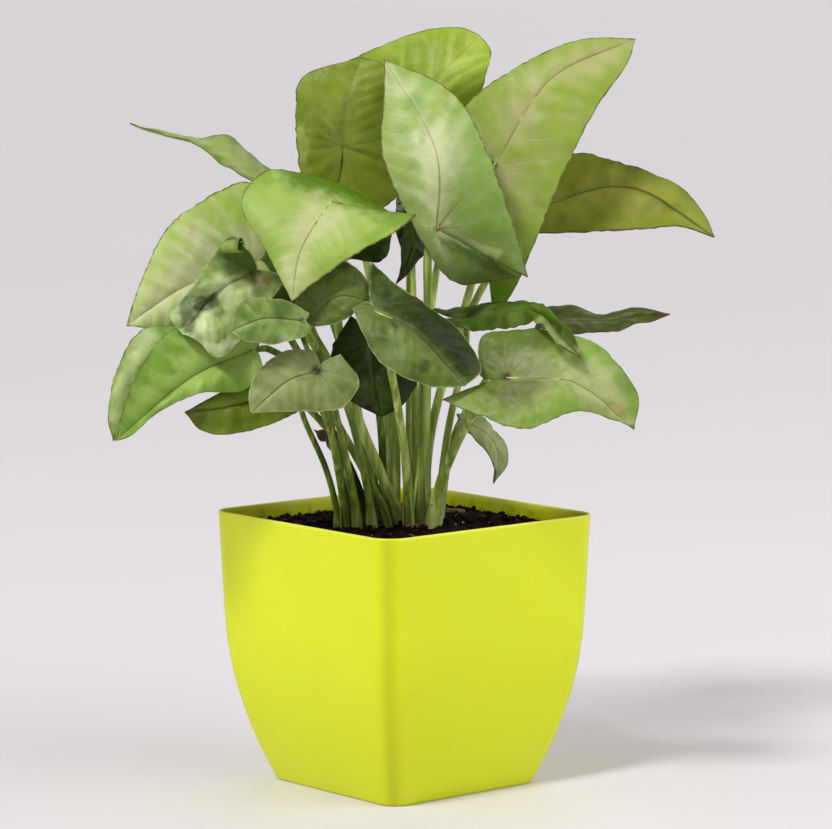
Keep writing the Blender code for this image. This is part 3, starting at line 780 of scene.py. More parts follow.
@dataclass(frozen=True)
class LeafShape:
    """One blade: its rib from base to tip, and its two margins from lobe tip towards the tip.

    The stalk runs from the soil to the base. Radius is the stalk's, flare how much thicker its
    foot is, and keel the share of the rib that it carries on under. Puff, wave, crumple, groove
    and pucker are the heights of the blade's forms, and the blade is held up to one distance from
    its base and free past another, all in millimetres. Close is how far the edge behind a lobe
    bows to the other lobe. Veins is about how many leave the rib on each side, and slant how far
    each runs ahead as it goes aside. Shows is 1 for the upper side and -1 for the under side.
    """

    name: str
    finish: LeafFinish
    rib: Route
    one: Route
    other: Route
    stalk: Route
    radius: float = 1.5
    puff: float = 2.0
    wave: float = 0.6
    crumple: float = 0.9
    close: float = 0.7
    slant: float = 0.62
    veins: float = 7.5
    groove: float = 0.35
    pucker: float = 0.2
    keel: float = 0.8
    flare: float = 0.5
    held: float = 2.0
    free: float = 14.0
    shows: int = 1

    def facing(self, along: Vector, across: Vector) -> Vector:
        """Return the unit vector square to two directions, on the blade's upper side.

        Args:
            along: the first direction.
            across: the second direction.

        Returns:
            The unit vector.
        """
        normal = along.cross(across).normalized()
        if normal.dot(VIEW.toward()) * self.shows < 0:
            normal.negate()
        return normal

    def looseness(self, away: float) -> float:
        """Return how free the blade is at a distance in millimetres from its base, 0 to 1."""
        return smooth(self.held, self.free, away)

    def crumpled(self, spot: Vector, loose: float) -> float:
        """Return how far the blade is bent at a place, both in millimetres."""
        rise = noise.noise(spot * BROAD_CRUMPLES) + 0.5 * noise.noise(spot * FINE_CRUMPLES)
        return self.crumple * loose * rise

    def normal(self) -> Vector:
        """Return the direction that the blade's upper side faces on the whole."""
        base, _, tip = [VIEW.seen(spot) for spot in self.rib]
        one, other = [VIEW.seen(side[len(side) // 2]) for side in (self.one, self.other)]
        return self.facing(tip - base, other - one)


LEAVES = (
    LeafShape(
        "leaf_centre_pale", CENTRE,
        rib=((13.5, 230, -18), (13, 262, -20), (-8, 299, 0)),
        one=((46, 210, -12), (33, 208, -11), (22, 207.5, -13), (11.5, 218, -15), (-8, 258, -16),
             (-8, 286, -8)),
        other=((51, 210, -24), (46, 228, -16), (32, 266, -8), (18, 287, -3)),
        stalk=((7, 108, -7), (8.5, 150, -9), (10, 195, -8), (10, 220, -9)), radius=1.8, flare=1.1,
        close=1.25),
    LeafShape(
        "leaf_right_high", RIGHT_HIGH,
        rib=((37, 256, 8), (60, 291, 10), (94.5, 307.5, 26)),
        one=((17, 262, 6), (26, 281, 12), (50, 298, 16), (72, 307, 20)),
        other=((37, 193, 16), (46, 206, 12), (63, 247, 6), (78, 278, 10), (91, 297, 18)),
        stalk=((8, 108, 0), (11, 145, 6), (20, 180, 14), (29, 212, 20), (34, 238, 20)), radius=1.6),
    LeafShape(
        "leaf_top_bright", TOP_LIT,
        rib=((0, 258, 30), (14, 290, 20), (31, 309, 30)),
        one=((-14, 262, 36), (-26, 292, 40), (-12, 303.5, 36), (10, 311, 32), (23, 312, 31)),
        other=((18, 256, 28), (28, 276, 22), (34, 294, 20), (35.5, 302.5, 24)),
        stalk=((2, 108, 3), (4, 160, 12), (3, 220, 30), (0, 246, 36)), slant=1.5, veins=4.5),
    LeafShape(
        "leaf_back_olive", BACK_OLIVE,
        rib=((-25, 264, 10), (-23, 283, 6), (-17, 300, 10)),
        one=((-31, 236, 14), (-42, 254, 12), (-44, 277, 8), (-41, 292, 9)),
        other=((-25, 234, 8), (-9, 238, 10), (4, 254, 12), (3, 280, 8), (-7, 296, 8)),
        stalk=((-4, 108, 4), (-6, 160, 8), (-16, 220, 16), (-23, 252, 17)), close=1.0, groove=0.05),
    LeafShape(
        "leaf_left_bright", TOP_LEFT,
        rib=((-30, 241, -30), (-42, 222, -44), (-46, 200, -50)),
        one=((-2, 234, -12), (-22, 246, -14), (-40, 252, -16), (-56, 253.5, -22), (-66.5, 240, -34),
             (-57, 222, -42)),
        other=((5, 235.5, -34), (-3, 229, -40), (-20, 219, -46), (-36, 208, -48)),
        stalk=((-2, 108, -7), (-8, 125, -9), (-20, 155, -10), (-27, 190, -12), (-30, 226, -23)),
        radius=1.8),
    LeafShape(
        "leaf_left_pale", LEFT_SUNNY,
        rib=((-62, 216, -10), (-90, 206, -22), (-114, 190, -30)),
        one=((-52, 240, 0), (-64, 249, -2), (-77, 244.5, -8), (-97, 230, -18), (-110, 203, -28)),
        other=((-50, 200, -10), (-66, 192, -14), (-93, 187, -24), (-103, 188.5, -28)),
        stalk=((-11, 108, -1), (-20, 150, -2), (-42, 190, -3), (-58, 208, -5)), radius=1.7),
    LeafShape(
        "leaf_left_curled", CURLED,
        rib=((-62, 212, -38), (-78, 203, -46), (-91, 186, -48)),
        one=((-64, 221, -50), (-71, 227, -46), (-80, 216, -46), (-89, 203, -50), (-96, 194, -50)),
        other=((-48, 210, -40), (-58, 196, -46), (-75, 177, -54), (-84, 183, -52)),
        stalk=((-7, 108, -11), (-14, 125, -13), (-26, 147, -17), (-44, 180, -26), (-58, 204, -36)),
        radius=1.4, crumple=4.0, wave=1.3, pucker=2.2),
    LeafShape(
        "leaf_left_heart", HEART_LEFT,
        rib=((-42, 192, -58), (-57, 193, -66), (-71, 188, -68)),
        one=((-39, 195, -54), (-48, 200, -58), (-60, 201, -64), (-68, 199, -67)),
        other=((-38, 189, -56), (-42, 185, -62), (-54, 182.5, -67), (-65, 183.5, -69)),
        stalk=((-19, 108, -13), (-26, 145, -28), (-34, 176, -41), (-39, 187, -50)),
        radius=1.2, puff=1.2, pucker=1.2),
    LeafShape(
        "leaf_inner_dark", SILVER_DARK,
        rib=((-38, 193, -36), (-27, 202, -42), (-14, 200, -40)),
        one=((-45, 198, -32), (-42, 205, -34), (-26, 216, -36), (-16, 210, -38)),
        other=((-40, 190, -38), (-32, 190, -43), (-23, 193, -44), (-17, 198, -42)),
        stalk=((-13, 108, -14), (-20, 145, -23), (-30, 174, -33), (-37, 187, -33)),
        radius=1.3, puff=1.2, pucker=1.2),
    LeafShape(
        "leaf_middle_dark", MIDDLE,
        rib=((-12, 196, -48), (4, 188, -56), (25, 165, -58)),
        one=((-13, 216, -34), (-2, 206, -38), (10, 198, -42), (24, 186, -48), (32, 172, -54)),
        other=((-21, 197, -48), (-17, 187, -54), (-9, 174, -60), (3, 167.5, -62), (17, 164, -60)),
        stalk=((2, 108, -13), (0, 140, -24), (-6, 175, -38), (-10, 189, -43)), pucker=0.7),
    LeafShape(
        "leaf_shaded_heart", SHADOWED,
        rib=((-14, 182, -20), (-12, 166, -26), (-9, 152, -24)),
        one=((-22, 194, -20), (-30, 178, -22), (-24, 161, -26)),
        other=((0, 190, -20), (8, 176, -24), (1, 159, -25)),
        stalk=((-9, 108, 6), (-9, 140, -2), (-12, 168, -12)), radius=1.4),
    LeafShape(
        "leaf_front_heart", FRONT_GREY,
        rib=((-36, 171, -54), (-48, 167, -62), (-63, 154, -66)),
        one=((-38, 180, -51), (-50, 179, -55), (-61, 170, -62), (-64, 160, -65)),
        other=((-26, 178, -52), (-18.5, 166, -56), (-27, 155.5, -60), (-46, 154.5, -64)),
        stalk=((-24, 108, -11), (-28, 135, -26), (-33, 158, -43), (-35, 166, -47)), radius=1.3),
    LeafShape(
        "leaf_left_under", UNDER_LEFT,
        rib=((-40, 170, -30), (-66, 158, -44), (-90.5, 154, -50)),
        one=((-38, 175, -27), (-56, 170, -37), (-74, 163, -46)),
        other=((-34, 161, -33), (-50, 151, -44), (-72, 145, -50), (-84, 147, -51)),
        stalk=((-27, 108, -6), (-32, 130, -9), (-42, 154, -18), (-42, 165, -24)), radius=1.1),
    LeafShape(
        "leaf_low_left", LOW_GREEN,
        rib=((-62, 180, -38), (-88, 168, -48), (-119, 142, -58)),
        one=((-58, 188, -34), (-80, 190, -37), (-97, 187, -46), (-109, 171, -55), (-116, 155, -59)),
        other=((-58, 172, -42), (-66, 163, -48), (-83, 162, -53), (-100, 155, -57), (-112, 145, -60)),
        stalk=((-18, 108, -6), (-27, 140, -11), (-42, 170, -17), (-55, 180, -28)), radius=1.4),
    LeafShape(
        "leaf_far_left", FAR_LEFT,
        rib=((-88, 184, -28), (-108, 172, -38), (-120, 142, -50)),
        one=((-92, 190, -26), (-108, 188, -32), (-118, 172, -41), (-122, 153, -48)),
        other=((-80, 176, -30), (-90, 165, -36), (-104, 155, -44), (-114, 146, -51)),
        stalk=((-16, 108, 2), (-30, 145, 0), (-60, 172, -10), (-83, 182, -22)), radius=1.3),
    LeafShape(
        "leaf_right_spotted", RIGHT_SPOTTED,
        rib=((42.5, 168.5, -52), (70, 166.5, -60), (95, 147, -58)),
        one=((31, 172, -46), (33, 186, -40), (56, 188, -42), (80, 182, -48), (96, 162, -54)),
        other=((16, 159, -54), (28, 154, -60), (50, 147, -66), (71, 154.5, -64), (88, 150.5, -60)),
        stalk=((12, 108, -12), (17, 130, -18), (30, 156, -36), (39, 164, -46)), flare=1.2,
        crumple=1.4, pucker=0.7),
    LeafShape(
        "leaf_right_edge", EDGE_RIGHT,
        rib=((26, 192.5, 0), (54, 195, -34), (73, 176, -64)),
        one=((12, 196, 8), (30, 198, 6), (51, 199.5, -18), (68, 189, -58)),
        other=((14, 192, -6), (30, 188, -14), (50, 190.5, -38), (57, 189.5, -52), (64, 182, -62)),
        stalk=((14, 108, 0), (18, 145, 0), (25, 178, -1)), radius=1.4, pucker=1.2),
    LeafShape(
        "leaf_far_right", FAR_RIGHT,
        rib=((58, 193, 10), (84, 192, 4), (109.5, 195, 0)),
        one=((50, 196, 18), (67, 198, 16), (80, 195, 12), (97, 197, 4)),
        other=((54, 189, 2), (72, 186.5, -4), (90, 188.5, -6), (101, 192, -3)),
        stalk=((14, 108, 7), (21, 145, 12), (40, 176, 14), (52, 186, 13)), radius=1.2, puff=1.0),
    LeafShape(
        "leaf_right_back", RIGHT_BACK,
        rib=((50, 238, 34), (92, 247, 34), (127.5, 226.5, 20)),
        one=((44, 252, 40), (70, 261, 42), (92, 256, 40), (112, 248, 35), (123, 236, 28)),
        other=((44, 226, 36), (56, 228, 32), (85, 229, 26), (112, 230.5, 22)),
        stalk=((8, 108, 7), (12, 150, 16), (27, 195, 25), (43, 224, 27)), keel=0.2, shows=-1),
    LeafShape(
        "leaf_left_narrow", NARROW,
        rib=((-52, 246, 14), (-78, 262, 24), (-112, 273, 34)),
        one=((-46, 248, 24), (-58, 256, 30), (-70, 267, 34), (-86, 267.5, 34)),
        other=((-50, 240, 2), (-66, 251, 8), (-84, 263, 20), (-98, 269.5, 28)),
        stalk=((-13, 108, 12), (-20, 160, 17), (-38, 215, 18), (-49, 238, 16)), radius=1.3, puff=1.0),
    LeafShape(
        "leaf_small_droop", DROOP,
        rib=((24, 151, -4), (37, 142, -8), (37, 124.5, -10)),
        one=((22, 153.5, -3), (34, 151, -4), (43, 135, -6)),
        other=((21, 148, -8), (29, 143.5, -12), (37.5, 131, -13)),
        stalk=((14, 108, -6), (17, 128, -5), (22, 143, -4)), radius=1.1, puff=1.0),
    LeafShape(
        "leaf_young_folded", SHADOWED,
        rib=((2, 243, -4), (4, 225, -8), (-3, 207, -8)),
        one=((-3, 246, -2), (-3, 230, -8), (-1, 218, -10)),
        other=((8, 240, -2), (9.5, 224, -3), (4, 214, -7)),
        stalk=((2, 108, -2), (2, 150, -2), (2, 200, 2), (2, 232, 4)), radius=1.1, puff=1.0),
    LeafShape(
        "leaf_inner_low", SHADOWED,
        rib=((-26, 224, -14), (-15, 222, -20), (-5, 227, -20)),
        one=((-30, 232, -10), (-20, 234, -14), (-9, 231, -18)),
        other=((-29, 218, -16), (-20, 217, -22), (-8, 217, -22)),
        stalk=((-4, 108, -1), (-4, 150, -6), (-14, 200, -10), (-24, 216, -11)), radius=1.1, puff=1.0),
    LeafShape(
        "leaf_inner_small", SHADOWED,
        rib=((-45, 196, -25), (-54, 200, -27), (-64, 202, -27)),
        one=((-43, 202, -23), (-51, 207, -25), (-60, 206, -26)),
        other=((-43, 191, -25), (-52, 193, -28), (-60, 197, -28)),
        stalk=((-22, 108, -1), (-29, 145, -6), (-38, 175, -12), (-43, 189, -22)),
        radius=1.1, puff=1.0),
    LeafShape(
        "leaf_back_low", MID,
        rib=((-34, 224, 40), (-58, 228, 62), (-88, 212, 84)),
        one=((-26, 236, 42), (-40, 244, 54), (-66, 240, 72)),
        other=((-30, 208, 44), (-46, 206, 56), (-72, 206, 74)),
        stalk=((-5, 108, 11), (-8, 160, 24), (-22, 205, 34), (-31, 217, 35)), shows=-1),
    LeafShape(
        "leaf_back_high", MID,
        rib=((18, 236, 48), (34, 252, 68), (52, 252, 92)),
        one=((4, 244, 46), (10, 262, 58), (34, 268, 80)),
        other=((26, 222, 52), (44, 226, 66), (56, 240, 84)),
        stalk=((3, 108, 10), (7, 160, 24), (13, 210, 40), (17, 228, 44)), shows=-1),
)


def solid_of(name: str, body: BMesh, materials: Sequence[Material], sharp: float = CREASE) -> Piece:
    """Turn a bmesh into a smooth-shaded object.

    Args:
        name: the piece's name.
        body: the bmesh, which is freed.
        materials: the piece's materials in the order of its faces' numbers.
        sharp: the angle past which an edge is sharp.

    Returns:
        The object, at the origin.
    """
    mesh = bpy.data.meshes.new(name)
    body.to_mesh(mesh)
    body.free()
    mesh.shade_smooth()
    mesh.set_sharp_from_angle(angle=sharp)
    for material in materials:
        mesh.materials.append(material)
    made = bpy.data.objects.new(name, mesh)
    bpy.context.scene.collection.objects.link(made)
    return made


def settle(piece: Piece, slot: str, *nodes: str) -> Piece:
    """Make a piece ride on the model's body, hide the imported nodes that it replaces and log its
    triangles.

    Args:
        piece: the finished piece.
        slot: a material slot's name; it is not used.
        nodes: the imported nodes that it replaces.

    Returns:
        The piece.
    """
    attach(piece, BODY)
    if nodes:
        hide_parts(*nodes)
    triangles = sum(len(face.vertices) - 2 for face in piece.data.polygons)
    LOG.info("%s: %d triangles", piece.name, triangles)
    return piece


def baked(piece: Piece, sharp: float = CREASE) -> Piece:
    """Apply a piece's modifiers to its mesh.

    Args:
        piece: the piece with live modifiers.
        sharp: the angle past which an edge is sharp.

    Returns:
        The same piece.
    """
    bpy.context.view_layer.update()
    graph = bpy.context.evaluated_depsgraph_get()
    mesh = bpy.data.meshes.new_from_object(piece.evaluated_get(graph))
    piece.modifiers.clear()
    piece.data = mesh
    mesh.shade_smooth()
    mesh.set_sharp_from_angle(angle=sharp)
    return piece


def thickened(sheet: Piece, thickness: float, centred: bool = False) -> Piece:
    """Give a sheet its thickness.

    Args:
        sheet: the sheet.
        thickness: its thickness in millimetres.
        centred: whether it grows to both sides and has its second material on the under side.

    Returns:
        The same piece.
    """
    thick = sheet.modifiers.new("thickness", "SOLIDIFY")
    thick.thickness = thickness * MM
    if centred:
        thick.offset = 0.0
        thick.material_offset = 1
    return baked(sheet)


def gridded(body: BMesh, across: int, along: int) -> list[tuple[BMVert, float, float]]:
    """Add a flat grid and return each vertex with its shares of the way across and along."""
    verts = bmesh.ops.create_grid(body, x_segments=across, y_segments=along, size=1.0)["verts"]
    return [(vert, (vert.co.x + 1) / 2, (vert.co.y + 1) / 2) for vert in verts]


def wrapped(body: BMesh, around: int, along: int, place: Callable[[float, float], Vector]) -> None:
    """Lay a grid round a closed section and put each of its points where a function says.

    Args:
        body: the bmesh that gets the faces.
        around: how many faces go round.
        along: how many rows of faces there are.
        place: gives a point for a share round and a share along.
    """
    grid = gridded(body, around, along)
    for vert, round_share, along_share in grid:
        column = round(round_share * around) % around
        row = round(along_share * along)
        vert.co = place(column / around, row / along)
    bmesh.ops.remove_doubles(body, verts=[vert for vert, *_ in grid], dist=SEAM_WELD)


@dataclass(frozen=True)
class Sweep:
    """A tapered round rod along a route, with rounded ends. Its radii are in millimetres."""

    route: tuple[Vector, ...]
    radii: tuple[float, ...]
    sides: int
    steps: int
    bulge: float = 0.4

    def add_to(self, body: BMesh) -> None:
        """Add the rod to a bmesh.

        Args:
            body: the bmesh that gets the rod.
        """
        frames = self.frames()
        last = len(frames) - 1

        def place(round_share: float, along_share: float) -> Vector:
            middle, aside, across, radius = frames[round(along_share * last)]
            angle = 2 * pi * round_share
            return middle + (aside * cos(angle) + across * sin(angle)) * radius

        wrapped(body, self.sides, last, place)

    def frames(self) -> list[tuple[Vector, Vector, Vector, float]]:
        """Return middle, two side directions and radius of each ring, with a pole at both ends."""
        points = [spline(self.route, k / self.steps) for k in range(self.steps + 1)]
        frames = []
        aside = Vector((1.0, 0.2, 0.0))
        for k, point in enumerate(points):
            ahead = (points[min(k + 1, self.steps)] - points[max(k - 1, 0)]).normalized()
            aside = (aside - ahead * aside.dot(ahead)).normalized()
            frames.append((point, aside.copy(), ahead.cross(aside), self.radius(k / self.steps)))
        first, final = frames[0], frames[-1]
        start = points[0] + (points[0] - points[1]).normalized() * first[3] * self.bulge
        end = points[-1] + (points[-1] - points[-2]).normalized() * final[3] * self.bulge
        return [(start, *first[1:3], 0.0), *frames, (end, *final[1:3], 0.0)]

    def radius(self, share: float) -> float:
        """Return the rod's radius at a share of its length.

        Args:
            share: how far along, 0 to 1.

        Returns:
            The radius in metres.
        """
        at = share * (len(self.radii) - 1)
        low = min(int(at), len(self.radii) - 2)
        return (self.radii[low] + (self.radii[low + 1] - self.radii[low]) * (at - low)) * MM


@dataclass(frozen=True)
class HalfRow:
    """One row of a half blade: where it starts and ends, and the rib beside it."""

    share: float
    inner: Vector
    outer: Vector
    base: Vector
    rib: Vector
    along: Vector
    travelled: float

    def beside(self, point: Vector) -> tuple[float, float, float]:
        """Return where a point of the row lies, in millimetres.

        Args:
            point: the point.

        Returns:
            How far from the base along the rib, how far aside of it, and how far from it.
        """
        reach = (point - self.rib) / MM
        ahead = reach.dot(self.along)
        aside = (reach - self.along * ahead).length
        along = self.travelled + ahead
        return along, aside, aside if along >= 0 else reach.length


@dataclass(frozen=True)
class Venation:
    """How side veins leave the rib: their spacing, slant and forward bend.

    Fan is the angle between the veins that leave the base, and narrowing how much nearer than
    their starts two veins run.
    """

    spacing: float
    slant: float
    bend: float = 0.006
    fan: float = 0.44
    narrowing: float = 0.85
    least: float = 0.4

    def phase(self, along: float, aside: float) -> tuple[float, float]:
        """Return which vein a place is on and how far apart veins are there.

        Args:
            along: millimetres from the base along the rib.
            aside: millimetres from the rib.

        Returns:
            The vein's running number and the spacing in millimetres.
        """
        ahead = along - self.bend * aside * aside
        start = ahead - aside * self.slant
        if start >= 0:
            return start / self.spacing, self.spacing * self.narrowing
        limit = atan2(1.0, self.slant)
        angle = atan2(aside, ahead)
        return (limit - angle) / self.fan, max(self.least, hypot(along, aside) * self.fan)


@dataclass(frozen=True)
class Blade:
    """A leaf's blade as a thin waved sheet.

    Quilt is how far it stands up between its side veins, crimp how far its margin is rumpled and
    crimp_aside the share of that which goes along the blade, in millimetres. A grain is the number
    of waves in a millimetre. Crowding draws the columns of faces together at the rib.
    """

    shape: LeafShape
    sinus_share: float = 0.34
    lobe_rows: int = 24
    front_rows: int = 46
    columns: int = 18
    crowding: float = 1.1
    rib_step: float = 0.02
    least_spacing: float = 6.0
    thickness: float = 0.5
    quilt: float = 0.32
    half_waves: int = 6
    crimp: float = 1.0
    crimp_aside: float = 0.75
    crimp_grain: float = 0.16
    crimp_aside_grain: float = 0.42
    pucker_grain: float = 0.24

    def rib_points(self) -> list[Vector]:
        """Return the rib's points in the frame."""
        return [VIEW.seen(spot) for spot in self.shape.rib]

    def rib_at(self, front: float) -> tuple[Vector, Vector, float]:
        """Return point, direction and millimetres travelled at a share of the rib.

        Args:
            front: how far along the rib, 0 to 1.

        Returns:
            The point, the rib's direction there and the way from the base.
        """
        rib = self.rib_points()
        length = sum((b - a).length for a, b in zip(rib, rib[1:])) / MM
        low, high = max(0.0, front - self.rib_step), min(1.0, front + self.rib_step)
        along = (spline(rib, high) - spline(rib, low)).normalized()
        return spline(rib, front), along, front * length

    def sinus(self, lobe: Vector, other_lobe: Vector, share: float) -> Vector:
        """Return a point of the edge between a lobe's tip and the base.

        Args:
            lobe: the lobe's tip.
            other_lobe: the tip of the other lobe, to which the edge bows.
            share: how far from the lobe's tip to the base, 0 to 1.

        Returns:
            The point.
        """
        base = self.rib_points()[0]
        bow = lobe.lerp(base, 0.5).lerp(other_lobe.lerp(base, 0.5), self.shape.close)
        return lobe.lerp(bow, share).lerp(bow.lerp(base, share), share)

    def row(self, side: Route, other: Route, number: int) -> HalfRow:
        """Return one row of a half blade.

        Args:
            side: the half's margin.
            other: the other half's margin.
            number: the row's number, from the lobe's tip to the leaf's tip.

        Returns:
            The row.
        """
        if number <= self.lobe_rows:
            share = self.sinus_share * number / self.lobe_rows
            front = 0.0
        else:
            front = (number - self.lobe_rows) / self.front_rows
            share = self.sinus_share + (1 - self.sinus_share) * front
        rib, along, travelled = self.rib_at(front)
        margin = [VIEW.seen(spot) for spot in side] + [self.rib_points()[-1]]
        inner = rib
        if number < self.lobe_rows:
            inner = self.sinus(margin[0], VIEW.seen(other[0]), number / self.lobe_rows)
        base = self.rib_points()[0]
        return HalfRow(share, inner, spline(margin, share), base, rib, along, travelled)

    def veins(self) -> Venation:
        """Return the blade's veins, spaced to its length."""
        spacing = max(self.least_spacing, self.rib_at(1.0)[2] / self.shape.veins)
        return Venation(spacing, self.shape.slant)

    def swell(self, s: float, t: float, phase: float) -> float:
        """Return how far the sheet stands out from its plain form.

        Args:
            s: share from lobe tip to tip.
            t: share from rib to margin.
            phase: running number of the vein.

        Returns:
            The distance in millimetres.
        """
        puff = self.shape.puff * 4 * t * (1 - t) * sin(pi * s)
        start = len(self.shape.name)
        ripple = self.shape.wave * t * t * sin(pi * s) * sin(self.half_waves * pi * s + start)
        between = sin(pi * phase) ** 2 - 0.5
        quilting = self.quilt * between * smooth(0.03, 0.25, t) * smooth(1.0, 0.8, t) * smooth(0.0, 0.1, s)
        return puff + ripple + quilting - self.shape.groove * smooth(0.1, 0.0, t) * smooth(1.0, 0.8, s)

    def bent(self, line: HalfRow, t: float, point: Vector, phase: float) -> tuple[float, float]:
        """Return how far a point is moved out of the blade's plain form.

        Args:
            line: the row that it is on.
            t: share from rib to margin.
            point: the point.
            phase: running number of the vein.

        Returns:
            Millimetres square to the blade, and millimetres towards the margin.
        """
        shape = self.shape
        spot = point / MM
        loose = shape.looseness((point - line.base).length / MM)
        crimp = self.crimp * t**4 * sin(pi * min(1.0, line.share * 1.2))
        lift = self.swell(line.share, t, phase) + crimp * noise.noise(spot * self.crimp_grain)
        lift += shape.crumpled(spot, loose)
        lift += shape.pucker * loose * smooth(0.05, 0.4, t) * noise.noise(spot * self.pucker_grain)
        return lift, crimp * self.crimp_aside * noise.noise(spot * self.crimp_aside_grain)

    def build_half(self, body: BMesh, side: Route, other: Route, sign: float) -> None:
        """Add one half of the sheet with its charts.

        Args:
            body: the bmesh that gets the half.
            side: the half's margin.
            other: the other half's margin.
            sign: -1 for the first half and 1 for the other, for distances from the rib.
        """
        lines = [self.row(side, other, k) for k in range(self.lobe_rows + self.front_rows + 1)]
        last = len(lines) - 1
        veins = self.veins()
        normal = self.shape.normal()
        charts = {}
        for vert, across, along in gridded(body, self.columns, last):
            line = lines[round(along * last)]
            t = across**self.crowding
            point = line.inner.lerp(line.outer, t)
            ahead, aside, rib_away = line.beside(point)
            phase, spacing = veins.phase(ahead, aside)
            lift, shift = self.bent(line, t, point, phase)
            outwards = (line.outer - line.inner).normalized() if t > 0 else Vector()
            vert.co = point + (normal * lift + outwards * shift) * MM
            charts[vert] = (phase, spacing, rib_away * sign, self.rim_away(line, point))
        self.chart(body, charts)

    def rim_away(self, line: HalfRow, point: Vector) -> float:
        """Return how far a point of a row is from the nearest margin, in millimetres."""
        inner = line.inner if line.share < self.sinus_share else line.base
        return min((point - line.outer).length, (point - inner).length) / MM

    @staticmethod
    def chart(body: BMesh, charts: dict[BMVert, tuple[float, float, float, float]]) -> None:
        """Write the vein and reach charts to the faces of one half.

        Args:
            body: the bmesh.
            charts: for each vertex of the half its vein, the veins' spacing, and its distances
                from rib and margin.
        """
        veins = body.loops.layers.uv.get("veins") or body.loops.layers.uv.new("veins")
        reach = body.loops.layers.uv.get("reach") or body.loops.layers.uv.new("reach")
        for face in {face for vert in charts for face in vert.link_faces}:
            for loop in face.loops:
                values = charts[loop.vert]
                loop[veins].uv = values[:2]
                loop[reach].uv = values[2:]

    def build_sheet(self) -> Piece:
        """Return the blade as a thickened sheet, its upper side first."""
        body = bmesh.new()
        shape = self.shape
        self.build_half(body, shape.one, shape.other, -1.0)
        self.build_half(body, shape.other, shape.one, 1.0)
        bmesh.ops.remove_doubles(body, verts=body.verts, dist=HALF_WELD)
        bmesh.ops.recalc_face_normals(body, faces=body.faces)
        facing = sum((face.normal * face.calc_area() for face in body.faces), Vector())
        if facing.dot(shape.normal()) < 0:
            bmesh.ops.reverse_faces(body, faces=body.faces)
        base = self.rib_points()[0]
        looks = [shape.finish.paint(shape.name + "_upper", base, False),
                 shape.finish.paint(shape.name + "_under", base, True)]
        return thickened(solid_of(shape.name + "_blade", body, looks), self.thickness, centred=True)

    def build(self) -> Piece:
        """Return the finished blade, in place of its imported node."""
        return settle(self.build_sheet(), self.shape.finish.slot, self.shape.name)


@dataclass(frozen=True)
class StalkFinish:
    """Fleshy green skin, paler and streaked along the stalk, with a browned foot.

    Soil level and the reaches over it are in metres.
    """

    body: Shade = srgb(176, 192, 96)
    light: Shade = srgb(203, 215, 132)
    lit: Shade = srgb(214, 224, 152)
    dark: Shade = srgb(118, 139, 47)
    foot: Shade = srgb(164, 176, 98)
    scar: Shade = srgb(110, 82, 56)
    soil_level: float = 0.107
    foot_reach: float = 0.022
    scar_reach: float = 0.035

    def shaded_copy(self) -> "StalkFinish":
        """Return a darker copy of the finish: painted shade for the stalks on the left."""
        return replace(self, body=srgb(120, 143, 44), light=srgb(166, 184, 90), dark=srgb(78, 101, 19),
                       foot=srgb(142, 159, 72))

    def dress(self, name: str) -> list[Material]:
        """Make two named materials, for a stalk and for the paler sheath round its foot."""
        sheathed = replace(self, light=self.lit)
        return [self.paint(name + "_skin"), sheathed.paint(name + "_sheath")]

    def paint(self, name: str) -> Material:
        """Make the material.

        Args:
            name: the material's name.

        Returns:
            The material.
        """
        brush = Painter(name, self.dark)
        streaks = brush.noise(1.0, 2.0, brush.stretched((420.0, 420.0, 9.0)))
        blotch = brush.noise(70.0, 3.0)
        brush.cover(brush.ease(streaks, 0.38, 0.66), self.body)
        brush.cover(brush.ease(streaks, 0.54, 0.72, 0.0, 0.6), self.light)
        brush.cover(brush.ease(blotch, 0.4, 0.7, 0.0, 0.25), self.light)
        high = brush.height()
        low = brush.ease(high, self.soil_level, self.soil_level + self.foot_reach, 0.55, 0.0)
        brush.cover(low, self.foot)
        scars = brush.ease(brush.noise(330.0, 2.0), 0.64, 0.7)
        near = brush.ease(high, self.soil_level, self.soil_level + self.scar_reach, 0.8, 0.12)
        brush.cover(brush.math("MULTIPLY", scars, near), self.scar)
        brush.relief(streaks, 0.25 * MM, 0.6)
        return brush.finish(brush.ease(blotch, 0.3, 0.7, 0.38, 0.52), Specular_IOR_Level=0.3)


